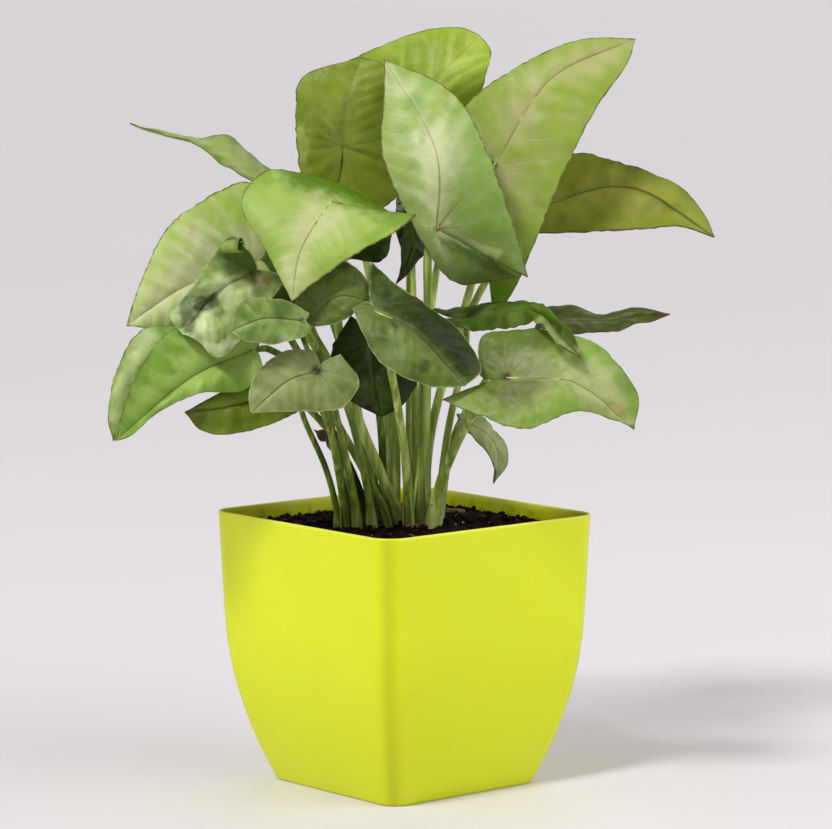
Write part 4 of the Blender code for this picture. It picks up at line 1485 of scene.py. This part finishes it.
@dataclass(frozen=True)
class Sheath:
    """The winged skin round the lower part of a stalk, open along one side.

    Gap is how far it stands off, sunk how far its top has grown into the stalk and wing how far
    its free edges turn out, all in millimetres. Reach is the share of the stalk that it covers.
    """

    sweep: Sweep
    opening: float
    reach: float
    gap: float = 0.5
    sunk: float = 1.0
    wall: float = 0.3
    wing: float = 1.3
    half_arc: float = radians(150)
    sides: int = 28

    def add_to(self, body: BMesh) -> None:
        """Add the sheath to a bmesh, on the second material.

        Args:
            body: the bmesh that gets the sheath.
        """
        frames = self.sweep.frames()[1:]
        rows = round(self.reach * self.sweep.steps)

        def place(round_share: float, along_share: float) -> Vector:
            middle, aside, across, radius = frames[round(along_share * rows)]
            if along_share in (0.0, 1.0):
                return middle
            outside = round_share < 0.5
            share = round_share if outside else 1 - round_share
            angle = self.half_arc * (4 * share - 1)
            reach = radius + self.stand_off(along_share, angle) - (0.0 if outside else self.wall * MM)
            angle += self.opening
            return middle + (aside * cos(angle) + across * sin(angle)) * reach

        before = set(body.faces)
        wrapped(body, self.sides, rows, place)
        for face in set(body.faces) - before:
            face.material_index = 1

    def stand_off(self, along: float, angle: float) -> float:
        """Return how far the sheath stands off the stalk, in metres.

        Args:
            along: share of its length from the foot.
            angle: where round the stalk, 0 opposite the opening.

        Returns:
            The distance, less than nothing where it has grown into the stalk.
        """
        wing = self.wing * (abs(angle) / self.half_arc) ** 6 * smooth(1.0, 0.3, along)
        loose = self.gap * smooth(1.0, 0.5, along) - self.sunk * smooth(0.72, 1.0, along)
        return (wing + loose) * MM


@dataclass(frozen=True)
class Stalk:
    """One leaf's stalk, from its sheathed foot in the soil to the blade's rib.

    The length of the leaf's name says which way its sheath opens and how far the sheath reaches.
    """

    shape: LeafShape
    foot: float = 90.0
    sides: int = 14
    steps: int = 36
    rings: int = 10
    neck: float = 0.85
    sheath_turn: float = 1.7
    sheath_least: float = 0.3
    sheath_more: float = 0.05
    keel_width: float = 0.42
    keel_tip: float = 0.1
    keel_rings: int = 8
    keel_sides: int = 8
    keel_steps: int = 20

    def route(self) -> list[Vector]:
        """Return the points that the stalk follows up to the base of the blade."""
        points = [VIEW.seen(spot) for spot in self.shape.stalk]
        foot = points[0].copy()
        foot.z = self.foot * MM
        base = VIEW.seen(self.shape.rib[0])
        under = base - self.shape.normal() * self.shape.radius * 0.5 * MM
        return [foot, *points, under]

    def rod(self) -> Sweep:
        """Return the stalk itself, thicker at its foot and drawn in at its neck."""
        shape = self.shape
        shares = [k / self.rings for k in range(self.rings + 1)]
        radii = [shape.radius * (1 + shape.flare * (1 - share) ** 2) for share in shares]
        radii[-1] *= self.neck
        return Sweep(tuple(self.route()), tuple(radii), self.sides, self.steps)

    def keel(self) -> Sweep:
        """Return the keel that carries the stalk on under the blade's rib."""
        shape = self.shape
        blade = Blade(shape)
        length = blade.rib_at(1.0)[2]
        points = []
        radii = []
        for k in range(self.keel_rings + 1):
            share = k / self.keel_rings
            point = blade.rib_at(shape.keel * share)[0]
            crumple = shape.crumpled(point / MM, shape.looseness(shape.keel * share * length))
            depth = blade.thickness / 2 + shape.groove - crumple
            points.append(point - shape.normal() * depth * MM)
            radii.append(shape.radius * self.keel_width * (1 - share) + self.keel_tip)
        return Sweep(tuple(points), tuple(radii), self.keel_sides, self.keel_steps)

    def build(self, materials: Sequence[Material]) -> Piece:
        """Return the stalk with its sheath and its keel.

        Args:
            materials: the materials of the stalk and of its sheath.

        Returns:
            The finished piece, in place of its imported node.
        """
        body = bmesh.new()
        rod = self.rod()
        rod.add_to(body)
        number = len(self.shape.name)
        reach = self.sheath_least + self.sheath_more * (number % 5)
        Sheath(rod, number * self.sheath_turn, reach).add_to(body)
        self.keel().add_to(body)
        bmesh.ops.recalc_face_normals(body, faces=body.faces)
        name = self.shape.name.replace("leaf", "stalk")
        return settle(solid_of(name + "_skin", body, materials), "stalk", name)


# pot


@dataclass(frozen=True)
class PotFinish:
    """Satin moulded plastic, darker towards its foot, with painted shade on its upright corners and
    on its inner wall, and faint wear and dust.

    The rim's height is in metres, and so are the depths under it of the lip and of the smears.
    """

    colour: Shade = srgb(213, 223, 8)
    deep: Shade = srgb(198, 206, 4)
    pale: Shade = srgb(226, 232, 84)
    dust: Shade = srgb(170, 160, 110)
    # painted shade on the upright corners
    painted_corner_shade: Shade = srgb(186, 192, 0)
    # the inner wall's colour, darker for painted shade and dust
    inner: Shade = srgb(168, 158, 6)
    soil: Shade = srgb(70, 50, 28)
    rim_height: float = 0.1128
    lip: tuple[float, float] = (0.0011, 0.0003)
    smears: tuple[float, float] = (0.006, 0.0008)
    foot_reach: float = 0.07
    roughness: float = 0.27

    def soil_inside(self, brush: Painter, high: Socket) -> None:
        """Darken the inner wall with painted shade and dust, and smear it with soil low down.

        Args:
            brush: the material's painter.
            high: height in metres.
        """
        # painted shade and dust on the inner wall
        brush.cover(0.1, self.inner)
        low = brush.ease(high, *[self.rim_height - depth for depth in self.smears], 1.0, 0.12)
        smear = brush.ease(brush.noise(240.0, 4.0), 0.5, 0.64, 0.0, 0.35)
        brush.cover(brush.math("MULTIPLY", low, smear), self.soil)

    @staticmethod
    def corner(brush: Painter) -> Socket:
        """Return the share of painted shade on the upright corners.

        Args:
            brush: the material's painter.

        Returns:
            The share.
        """
        x, y = (brush.math("ABSOLUTE", socket) for socket in brush.axes(brush.place())[:2])
        evenness = brush.math("DIVIDE", brush.math("MINIMUM", x, y), brush.math("MAXIMUM", x, y))
        return brush.ease(evenness, 0.88, 0.99, 0.0, 0.55)

    def paint(self, name: str, inside: bool) -> Material:
        """Make the material.

        Args:
            name: the material's name.
            inside: whether it is the inner wall, which gets painted shade and dust, and soil low down.

        Returns:
            The material.
        """
        brush = Painter(name, self.colour)
        cloud = brush.noise(16.0, 2.0)
        fine = brush.noise(420.0, 3.0)
        high = brush.height()
        low = brush.ease(high, 0.0, self.foot_reach, 0.35, 0.0)
        brush.cover(brush.ease(cloud, 0.35, 0.65, 0.0, 0.16), self.deep)
        brush.cover(low, self.deep)
        # painted shade on the upright corners
        brush.cover(self.corner(brush), self.painted_corner_shade)
        if inside:
            self.soil_inside(brush, high)
        lip = brush.ease(high, *[self.rim_height - depth for depth in self.lip], 0.0, 0.45)
        brush.cover(lip, self.pale)
        specks = brush.ease(brush.cells(75.0), 0.012, 0.03, 0.7, 0.0)
        rare = brush.ease(brush.noise(33.0, 0.0), 0.55, 0.6)
        brush.cover(brush.math("MULTIPLY", specks, rare), self.dust)
        scuff = brush.ease(brush.noise(1.0, 4.0, brush.stretched((60.0, 60.0, 900.0))), 0.6, 0.74)
        brush.relief(fine, 0.05 * MM, 0.3)
        brush.relief(brush.noise(45.0, 1.0), 0.5 * MM, 0.12)
        satin = brush.math("ADD", brush.ease(cloud, 0.3, 0.7, self.roughness, self.roughness + 0.07),
                           brush.math("MULTIPLY", scuff, 0.1))
        return brush.finish(satin, Specular_IOR_Level=0.35)


@dataclass(frozen=True)
class Pot:
    """A moulded square pot that tapers to its foot, with four drain holes.

    Taper and foot curve are shares of its side, and foot start is the share of its height under
    which the foot curves in.
    """

    side: float = 115.0
    height: float = 112.8
    wall: float = 1.5
    floor: float = 2.4
    corner_rim: float = 10.0
    corner_foot: float = 8.0
    taper: float = 0.085
    foot_curve: float = 0.575
    foot_start: float = 0.62
    foot_edge: float = 0.6
    floor_edge: float = 1.4
    drain_radius: float = 3.5
    drain_offset: float = 20.0
    corner_steps: int = 12
    flat_steps: int = 4
    wall_rows: int = 38
    lip_rows: int = 6
    inner_rows: int = 30
    crease: float = radians(40)
    finish: PotFinish = PotFinish()

    def width(self, level: float) -> float:
        """Return the outer side in millimetres at a share of the height."""
        curve = self.foot_curve * max(0.0, self.foot_start - level) ** 2
        return self.side * (1 - self.taper * (1 - level) - curve)

    def corner(self, level: float) -> float:
        """Return the radius of the upright corners at a share of the height."""
        return self.corner_foot + (self.corner_rim - self.corner_foot) * level

    @property
    def around(self) -> int:
        """Return how many points go round a section."""
        return 4 * (self.corner_steps + self.flat_steps)

    def section(self, number: int, height: float, inset: float) -> Vector:
        """Return one point of a rounded square section.

        Args:
            number: the point's number round the section.
            height: the section's height in millimetres.
            inset: how far the section is moved inwards.

        Returns:
            The point in metres.
        """
        level = height / self.height
        corner = max(0.6, self.corner(level) - inset)
        reach = self.width(level) / 2 - inset - corner
        per_side = self.corner_steps + self.flat_steps
        quarter, step = divmod(number % self.around, per_side)
        turn = quarter * pi / 2
        if step <= self.corner_steps:
            angle = step / self.corner_steps * pi / 2
            spot = Vector((reach + corner * cos(angle), reach + corner * sin(angle), 0.0))
        else:
            share = (step - self.corner_steps) / self.flat_steps
            spot = Vector((reach - 2 * reach * share, reach + corner, 0.0))
        spot = Matrix.Rotation(turn, 3, "Z") @ spot
        return Vector((spot.x, spot.y, height)) * MM

    def profile(self) -> list[tuple[float, float]]:
        """Return height and inset of each section, from the foot up, over the lip and down inside."""
        lip = self.wall / 2
        path = [(0.0, self.foot_edge * 1.4), (0.1, self.foot_edge * 0.6), (self.foot_edge * 0.6, 0.1)]
        for k in range(self.wall_rows + 1):
            path.append((self.height * (0.012 + 0.974 * k / self.wall_rows), 0.0))
        for k in range(self.lip_rows + 1):
            angle = pi * k / self.lip_rows
            path.append((self.height - lip + lip * sin(angle), lip - lip * cos(angle)))
        for k in range(self.inner_rows + 1):
            path.append((self.height * (0.975 - 0.94 * k / self.inner_rows), self.wall))
        return [*path, (self.floor + 0.4, self.wall + 0.5), (self.floor, self.wall + self.floor_edge)]

    def build(self) -> Piece:
        """Return the pot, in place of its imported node."""
        body = bmesh.new()
        path = self.profile()

        def place(share: float, along: float) -> Vector:
            height, inset = path[round(along * (len(path) - 1))]
            return self.section(round(share * self.around), height, inset)

        wrapped(body, self.around, len(path) - 1, place)
        bmesh.ops.holes_fill(body, edges=[e for e in body.edges if e.is_boundary], sides=0)
        bmesh.ops.recalc_face_normals(body, faces=body.faces)
        for face in body.faces:
            middle = face.calc_center_median()
            if face.normal.xy.dot(middle.xy) < 0 and middle.z > self.floor * MM:
                face.material_index = 1
        looks = [self.finish.paint("lime_plastic", False), self.finish.paint("lime_plastic_inside", True)]
        pot = solid_of("pot_shell", body, looks, self.crease)
        cutters = [self.drain(x, y) for x in (-1, 1) for y in (-1, 1)]
        for cutter in cutters:
            hole = pot.modifiers.new("drain", "BOOLEAN")
            hole.operation = "DIFFERENCE"
            hole.solver = "EXACT"
            hole.object = cutter
        baked(pot, self.crease)
        for cutter in cutters:
            bpy.data.objects.remove(cutter)
        return settle(pot, "pot", "pot")

    def drain(self, x: int, y: int) -> Piece:
        """Return the plug that cuts one drain hole.

        Args:
            x: side on which the hole lies along X, -1 or 1.
            y: side on which the hole lies along Y, -1 or 1.

        Returns:
            The plug.
        """
        body = bmesh.new()
        bmesh.ops.create_cone(body, cap_ends=True, segments=32, radius1=self.drain_radius * MM,
                              radius2=self.drain_radius * MM, depth=4 * self.floor * MM)
        spot = Vector((x, y, 0)) * self.drain_offset * MM
        bmesh.ops.translate(body, verts=body.verts, vec=spot)
        return solid_of(f"drain_{x}_{y}", body, [])


# soil


@dataclass(frozen=True)
class SoilFinish:
    """Dark moist potting mix."""

    wet: Shade = srgb(20, 12, 5)
    dry: Shade = srgb(50, 33, 18)
    fibre: Shade = srgb(120, 90, 60)

    def paint(self, name: str, lightness: float) -> Material:
        """Make the material.

        Args:
            name: the material's name.
            lightness: share of dry colour that is mixed in.

        Returns:
            The material.
        """
        brush = Painter(name, self.wet)
        crumb = brush.noise(420.0, 5.0)
        brush.cover(brush.ease(crumb, 0.42, 0.72, lightness, lightness + 0.6), self.dry)
        brush.cover(brush.ease(brush.noise(900.0, 2.0), 0.66, 0.72, 0.0, 0.8), self.fibre)
        brush.relief(crumb, 1.2 * MM, 0.9)
        brush.relief(brush.cells(1300.0), 0.3 * MM, 0.6)
        return brush.finish(brush.ease(crumb, 0.3, 0.7, 0.78, 1.0), Specular_IOR_Level=0.08)


@dataclass(frozen=True)
class PlainFinish:
    """The finish of a small bit: mineral grain, root, dry bark, dry sheath or rolled margin.

    Grain is the number of waves in a metre, stretch makes it denser along each axis, and depth is
    its relief in millimetres.
    """

    name: str
    light: Shade
    dark: Shade
    grain: float
    stretch: Spot = (1.0, 1.0, 1.0)
    roughness: float = 0.85
    depth: float = 0.3

    def paint(self) -> Material:
        """Make the material."""
        brush = Painter(self.name, self.dark)
        pattern = brush.noise(self.grain, 4.0, brush.stretched(self.stretch))
        brush.cover(brush.ease(pattern, 0.35, 0.65), self.light)
        brush.relief(pattern, self.depth * MM, 0.7)
        return brush.finish(brush.ease(pattern, 0.3, 0.7, self.roughness - 0.1, self.roughness))


PERLITE = PlainFinish("perlite", srgb(226, 222, 212), srgb(170, 162, 150), 900.0)
ROOT = PlainFinish("root_fibre", srgb(160, 126, 92), srgb(96, 68, 46), 500.0)
BARK = PlainFinish("bark", srgb(150, 118, 78), srgb(78, 56, 36), 260.0, (1.0, 3.0, 3.0), depth=0.6)
CURL = PlainFinish("curled_margin", srgb(128, 150, 62), srgb(58, 84, 10), 130.0, roughness=0.5)
SHEATH = PlainFinish("dry_sheath", srgb(104, 84, 50), srgb(48, 36, 22), 220.0, (3.0, 3.0, 1.0), 0.7)


@dataclass(frozen=True)
class Soil:
    """Potting mix that fills the pot to just under its rim, with crumbs, grains and roots on top.

    Levels are the heights of its rows as shares of the pot's. Lumps pair the height of a layer of
    crumbs with its waves in a millimetre.
    """

    pot: Pot
    top: float = 106.4
    mound: float = 2.0
    mound_reach: float = 1.1
    rough: float = 1.6
    rough_scale: float = 0.16
    rough_seed: float = 1.7
    rough_fade: float = 2.4
    clear: float = 0.4
    floor_edge: float = 1.5
    levels: tuple[float, ...] = (0.06, 0.13, 0.22, 0.32, 0.43, 0.55, 0.7, 0.8)
    lumps: tuple[tuple[float, float], ...] = ((0.9, 0.34), (0.7, 0.8), (0.45, 1.9))
    rings: int = 56
    round_steps: int = 4
    crumbs: int = 1500
    crumb_sizes: tuple[float, float] = (0.35, 1.7)
    grains: int = 70
    grain_sizes: tuple[float, float] = (0.2, 0.75)
    bit_form: Spot = (1.3, 0.9, 0.8)
    bit_rough: float = 0.25
    bit_rise: float = 0.35
    bit_crease: float = radians(30)
    edge: float = 4.0
    roots: int = 26
    root_points: int = 5
    root_strides: tuple[float, float] = (1.0, 2.6)
    root_bend: float = 0.7
    root_arch: float = 0.8
    root_rise: float = 0.6
    root_radii: Spot = (0.22, 0.16, 0.1)
    root_edge: float = 6.0
    seed: int = 7

    def surface(self, x: float, y: float) -> float:
        """Return the height of the soil's mean surface at a place, in millimetres.

        Args:
            x: place along X in millimetres.
            y: place along Y in millimetres.

        Returns:
            The height.
        """
        away = hypot(x, y) / (self.pot.side / 2)
        mound = self.mound * max(0.0, 1 - away / self.mound_reach)
        spot = Vector((x * self.rough_scale, y * self.rough_scale, self.rough_seed))
        rough = self.rough * noise.noise(spot)
        return self.top + mound + rough * min(1.0, max(0.0, self.rough_fade * (1 - away)))

    def crumbly(self, x: float, y: float) -> float:
        """Return how far the crumbs raise the surface at a place, in millimetres."""
        spot = Vector((x, y, 0.0))
        return sum(height * noise.noise(spot * grain) for height, grain in self.lumps)

    def build_bulk(self) -> Piece:
        """Return the soil itself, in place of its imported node."""
        body = bmesh.new()
        pot = self.pot
        inset = pot.wall + self.clear
        low = pot.floor + self.clear
        walls = [(low, inset + self.floor_edge), (low + 0.01, inset + self.floor_edge - 0.1)]
        walls += [(pot.height * level, inset) for level in self.levels]
        walls.append((self.top - 1.0, inset))
        rows = len(walls) + self.rings

        def place(share: float, along: float) -> Vector:
            row = round(along * rows)
            number = share * pot.around
            if row == 0:
                return Vector((0.0, 0.0, low)) * MM
            if row <= len(walls):
                height, inwards = walls[row - 1]
                return self.between(number, height, inwards)
            spread = 1 - (row - len(walls)) / self.rings
            rim = self.between(number, self.top, inset) / MM
            x, y = rim.x * spread, rim.y * spread
            bumps = self.crumbly(x, y) * smooth(0.0, 0.04, 1 - spread)
            return Vector((x, y, self.surface(x, y) + bumps)) * MM

        wrapped(body, pot.around * self.round_steps, rows, place)
        bmesh.ops.recalc_face_normals(body, faces=body.faces)
        bulk = solid_of("soil_bulk", body, [SoilFinish().paint("potting_mix", 0.0)])
        return settle(bulk, "soil", "soil")

    def between(self, number: float, height: float, inset: float) -> Vector:
        """Return a point of the pot's section at a place between its numbered points.

        Args:
            number: place round the section, with a fraction.
            height: the section's height in millimetres.
            inset: how far the section is moved inwards.

        Returns:
            The point in metres.
        """
        low = floor(number)
        first = self.pot.section(low, height, inset)
        return first.lerp(self.pot.section(low + 1, height, inset), number - low)

    def spots(self, draw: random.Random, count: int) -> list[Vector]:
        """Return random places on the soil's surface, in millimetres.

        Args:
            draw: the seeded source of random numbers.
            count: how many places.

        Returns:
            The places.
        """
        reach = self.pot.side / 2 - self.edge
        found = []
        while len(found) < count:
            x, y = draw.uniform(-reach, reach), draw.uniform(-reach, reach)
            found.append(Vector((x, y, self.surface(x, y) + self.crumbly(x, y))))
        return found

    def build_bits(self, name: str, count: int, sizes: tuple[float, float], material: Material) -> Piece:
        """Return many small lumps that lie in the soil's surface.

        Args:
            name: the piece's name.
            count: how many lumps.
            sizes: least and greatest radius in millimetres.
            material: their material.

        Returns:
            The piece.
        """
        body = bmesh.new()
        draw = random.Random(self.seed + len(name))
        for spot in self.spots(draw, count):
            size = sizes[0] + (sizes[1] - sizes[0]) * draw.random() ** 3
            verts = bmesh.ops.create_icosphere(body, subdivisions=1, radius=size * MM)["verts"]
            for vert in verts:
                vert.co *= draw.uniform(1 - self.bit_rough, 1 + self.bit_rough)
            turn = Matrix.Rotation(draw.uniform(0, pi), 4, "Z") @ Matrix.Diagonal((*self.bit_form, 1.0))
            rise = Vector((0, 0, size * self.bit_rise))
            bmesh.ops.transform(body, matrix=Matrix.Translation((spot + rise) * MM) @ turn, verts=verts)
        return settle(solid_of(name, body, [material], self.bit_crease), "soil")

    def build_roots(self) -> Piece:
        """Return thin root fibres that lie across the soil."""
        body = bmesh.new()
        draw = random.Random(self.seed)
        reach = self.pot.side / 2 - self.root_edge
        for spot in self.spots(draw, self.roots):
            heading = draw.uniform(0, 2 * pi)
            points = []
            for k in range(self.root_points):
                heading += draw.uniform(-self.root_bend, self.root_bend)
                stride = draw.uniform(*self.root_strides)
                spot = spot + Vector((cos(heading), sin(heading), 0.0)) * stride
                x, y = (max(-reach, min(reach, place)) for place in spot.xy)
                arch = self.root_arch * sin(pi * k / (self.root_points - 1)) + 0.1
                spot = Vector((x, y, self.surface(x, y) + self.root_rise + arch))
                points.append(spot * MM)
            Sweep(tuple(points), self.root_radii, sides=4, steps=10).add_to(body)
        bmesh.ops.recalc_face_normals(body, faces=body.faces)
        return settle(solid_of("soil_roots", body, [ROOT.paint()]), "soil")

    def build(self) -> None:
        """Build the soil with its crumbs, pale grains and roots."""
        self.build_bulk()
        self.build_bits("soil_crumbs", self.crumbs, self.crumb_sizes, SoilFinish().paint("loose_mix", 0.1))
        self.build_bits("soil_perlite", self.grains, self.grain_sizes, PERLITE.paint())
        self.build_roots()


@dataclass(frozen=True)
class BarkChip:
    """A chip of bark that lies on the soil. Its spot is laid out across and back."""

    soil: Soil
    size: Spot = (9.0, 3.4, 2.0)
    spot: tuple[float, float] = (21.0, 38.0)
    turn: float = radians(70)
    tilt: float = radians(8)
    edge: float = 0.5
    rough: Spot = (0.4, 0.35, 0.3)
    grain: float = 0.9

    def build(self) -> Piece:
        """Return the chip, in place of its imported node."""
        body = bmesh.new()
        bmesh.ops.create_cube(body, size=1.0)
        bmesh.ops.scale(body, verts=body.verts, vec=Vector(self.size) * MM)
        bmesh.ops.bevel(body, geom=body.edges, offset=self.edge * MM, segments=2, profile=0.5,
                        affect="EDGES", material=-1)
        bmesh.ops.subdivide_edges(body, edges=body.edges, cuts=3, use_grid_fill=True)
        for vert in body.verts:
            vert.co += noise.noise_vector(vert.co / MM * self.grain) * Vector(self.rough) * MM
        place = VIEW.seen((self.spot[0], 0.0, self.spot[1])) / MM
        place.z = self.soil.surface(place.x, place.y) + self.size[2] / 4
        turn = Matrix.Rotation(self.turn, 4, "Z") @ Matrix.Rotation(self.tilt, 4, "Y")
        bmesh.ops.transform(body, matrix=Matrix.Translation(place * MM) @ turn, verts=body.verts)
        bmesh.ops.recalc_face_normals(body, faces=body.faces)
        return settle(solid_of("bark_chip", body, [BARK.paint()]), "chip", "wood_chip")


@dataclass(frozen=True)
class CurledMargin:
    """The top of the crumpled left leaf, rolled up like a scroll that widens towards its end."""

    start: Spot = (-74.5, 222.0, -46.5)
    end: Spot = (-67.0, 222.8, -50.5)
    outer: float = 2.9
    inner: float = 1.3
    turns: float = 1.35
    begin: float = radians(200)
    widening: float = 0.25
    rough: float = 0.7
    grain: float = 0.2
    thickness: float = 0.4
    columns: int = 16
    steps: int = 44

    def build(self) -> Piece:
        """Return the rolled margin."""
        first, last = VIEW.seen(self.start), VIEW.seen(self.end)
        along = (last - first).normalized()
        up = Vector((0.0, 0.0, 1.0))
        up = (up - along * up.dot(along)).normalized()
        side = along.cross(up)
        body = bmesh.new()
        for vert, across, round_share in gridded(body, self.columns, self.steps):
            angle = self.begin - 2 * pi * self.turns * round_share
            reach = self.outer + (self.inner - self.outer) * round_share
            reach *= 1 - self.widening + 2 * self.widening * across
            point = first.lerp(last, across) + (side * cos(angle) + up * sin(angle)) * reach * MM
            vert.co = point + noise.noise_vector(point / MM * self.grain) * self.rough * MM
        bmesh.ops.recalc_face_normals(body, faces=body.faces)
        roll = solid_of("leaf_left_curl", body, [CURL.paint()])
        return settle(thickened(roll, self.thickness), "leaf_bright")


@dataclass(frozen=True)
class DryScrap:
    """A dried scrap of old sheath, caught on the left stalks."""

    corners: tuple[Spot, Spot, Spot, Spot] = ((-37.5, 147, -12.5), (-27.5, 145.5, -17),
                                              (-36, 144.5, -12.5), (-30.5, 139, -16))
    rumple: float = 2.4
    least_rumple: float = 0.3
    grain: float = 0.35
    thickness: float = 0.3
    columns: int = 14
    rows: int = 9

    def build(self) -> Piece:
        """Return the scrap."""
        body = bmesh.new()
        top_left, top_right, low_left, low_right = (VIEW.seen(spot) for spot in self.corners)
        for vert, across, up in gridded(body, self.columns, self.rows):
            point = low_left.lerp(low_right, across).lerp(top_left.lerp(top_right, across), up)
            rumple = self.rumple * (self.least_rumple + across)
            vert.co = point + noise.noise_vector(point / MM * self.grain) * rumple * MM
        bmesh.ops.recalc_face_normals(body, faces=body.faces)
        scrap = solid_of("dry_scrap", body, [SHEATH.paint()])
        return settle(thickened(scrap, self.thickness), "stalk")


# studio


class LampKind(Enum):
    """The two kinds of studio light: a soft square panel near the plant, or a soft far light."""

    PANEL = "AREA"
    FAR = "SUN"


@dataclass(frozen=True)
class Lamp:
    """One studio light: where it stands, how strong it is and how large it looks.

    Azimuth and height are in degrees as seen from the viewpoint, and distance is in metres. A
    panel has its strength in watts and its side in metres, a far light its spread in degrees.
    """

    name: str
    kind: LampKind
    azimuth: float
    height: float
    distance: float
    strength: float
    size: float

    def hang(self, target: Vector) -> None:
        """Put the light in its place.

        Args:
            target: the point that it is turned to.
        """
        data = bpy.data.lights.new(self.name, self.kind.value)
        data.energy = self.strength
        if self.kind is LampKind.PANEL:
            data.size = self.size
        else:
            data.angle = radians(self.size)
        turn = VIEW.turn + radians(self.azimuth)
        rise = radians(self.height)
        away = Vector((sin(turn) * cos(rise), -cos(turn) * cos(rise), sin(rise)))
        light = bpy.data.objects.new(self.name, data)
        light.location = target + away * self.distance
        light.rotation_euler = away.to_track_quat("Z", "Y").to_euler()
        bpy.context.scene.collection.objects.link(light)


LAMPS = (
    Lamp("side_left", LampKind.PANEL, -84.0, 20.0, 1.4, 4.9, 1.1),
    Lamp("side_right", LampKind.PANEL, 82.0, 20.0, 1.4, 7.9, 1.1),
    Lamp("high_left", LampKind.FAR, -36.0, 50.0, 3.0, 2.0, 13.0),
    Lamp("high_right", LampKind.FAR, 48.0, 44.0, 3.0, 0.55, 30.0),
    Lamp("behind", LampKind.FAR, 165.0, 40.0, 3.0, 0.35, 40.0))


@dataclass(frozen=True)
class Studio:
    """A plain pale floor, soft light and the camera at the viewpoint."""

    paper: Shade = srgb(218, 214, 217)
    shadow_paper: Shade = srgb(208, 204, 208)
    sky: Shade = srgb(236, 232, 236)
    world: float = 0.38
    floor_reach: float = 30.0
    target: Vector = Vector((0.0, 0.0, 0.15))
    near: float = 0.1
    far: float = 100.0

    def build_floor(self) -> None:
        """Make the wide pale floor."""
        body = bmesh.new()
        bmesh.ops.create_grid(body, x_segments=1, y_segments=1, size=self.floor_reach)
        brush = Painter("pale_paper", self.paper)
        brush.cover(brush.ease(brush.noise(3.0, 1.0), 0.3, 0.7, 0.0, 0.12), self.shadow_paper)
        brush.relief(brush.noise(700.0), 0.05 * MM, 0.2)
        solid_of("studio_floor", body, [brush.finish(0.6)])

    def build_world(self) -> None:
        """Fill the surroundings with even pale light."""
        world = bpy.data.worlds.new("studio")
        world.use_nodes = True
        background = world.node_tree.nodes["Background"]
        background.inputs["Color"].default_value = self.sky
        background.inputs["Strength"].default_value = self.world
        bpy.context.scene.world = world

    def build_camera(self) -> None:
        """Set up the camera at the viewpoint."""
        data = bpy.data.cameras.new("camera")
        data.sensor_width = VIEW.sensor
        data.lens = VIEW.focal_pixels * VIEW.sensor / VIEW.picture_width
        data.clip_start, data.clip_end = self.near, self.far
        camera = bpy.data.objects.new("camera", data)
        camera.location = VIEW.turned(VIEW.across, -VIEW.distance, VIEW.up)
        camera.rotation_euler = (pi / 2 - VIEW.pitch, 0.0, VIEW.turn)
        bpy.context.scene.collection.objects.link(camera)
        bpy.context.scene.camera = camera

    def build(self) -> None:
        """Set up floor, light and camera."""
        self.build_camera()
        self.build_floor()
        self.build_world()
        for lamp in LAMPS:
            lamp.hang(self.target)
        bpy.context.scene.view_settings.view_transform = "Standard"


def main() -> None:
    """Build the studio, the pot with its soil and every leaf with its stalk."""
    logging.basicConfig(level=logging.INFO, format="%(message)s")
    noise.seed_set(NOISE_SEED)
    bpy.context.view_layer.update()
    LOG.info("packed model: %d nodes", len(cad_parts))
    Studio().build()
    pot = Pot()
    pot.build()
    soil = Soil(pot)
    soil.build()
    BarkChip(soil).build()
    DryScrap().build()
    CurledMargin().build()
    greens = StalkFinish().dress("stalk")
    # the stalks on the left get the darker skin, painted shade
    shaded_greens = StalkFinish().shaded_copy().dress("shaded_stalk")
    for shape in LEAVES:
        Blade(shape).build()
        Stalk(shape).build(shaded_greens if shape.stalk[0][0] < SHADED_STALKS_LEFT_OF else greens)


if __name__ == "__main__":
    main()
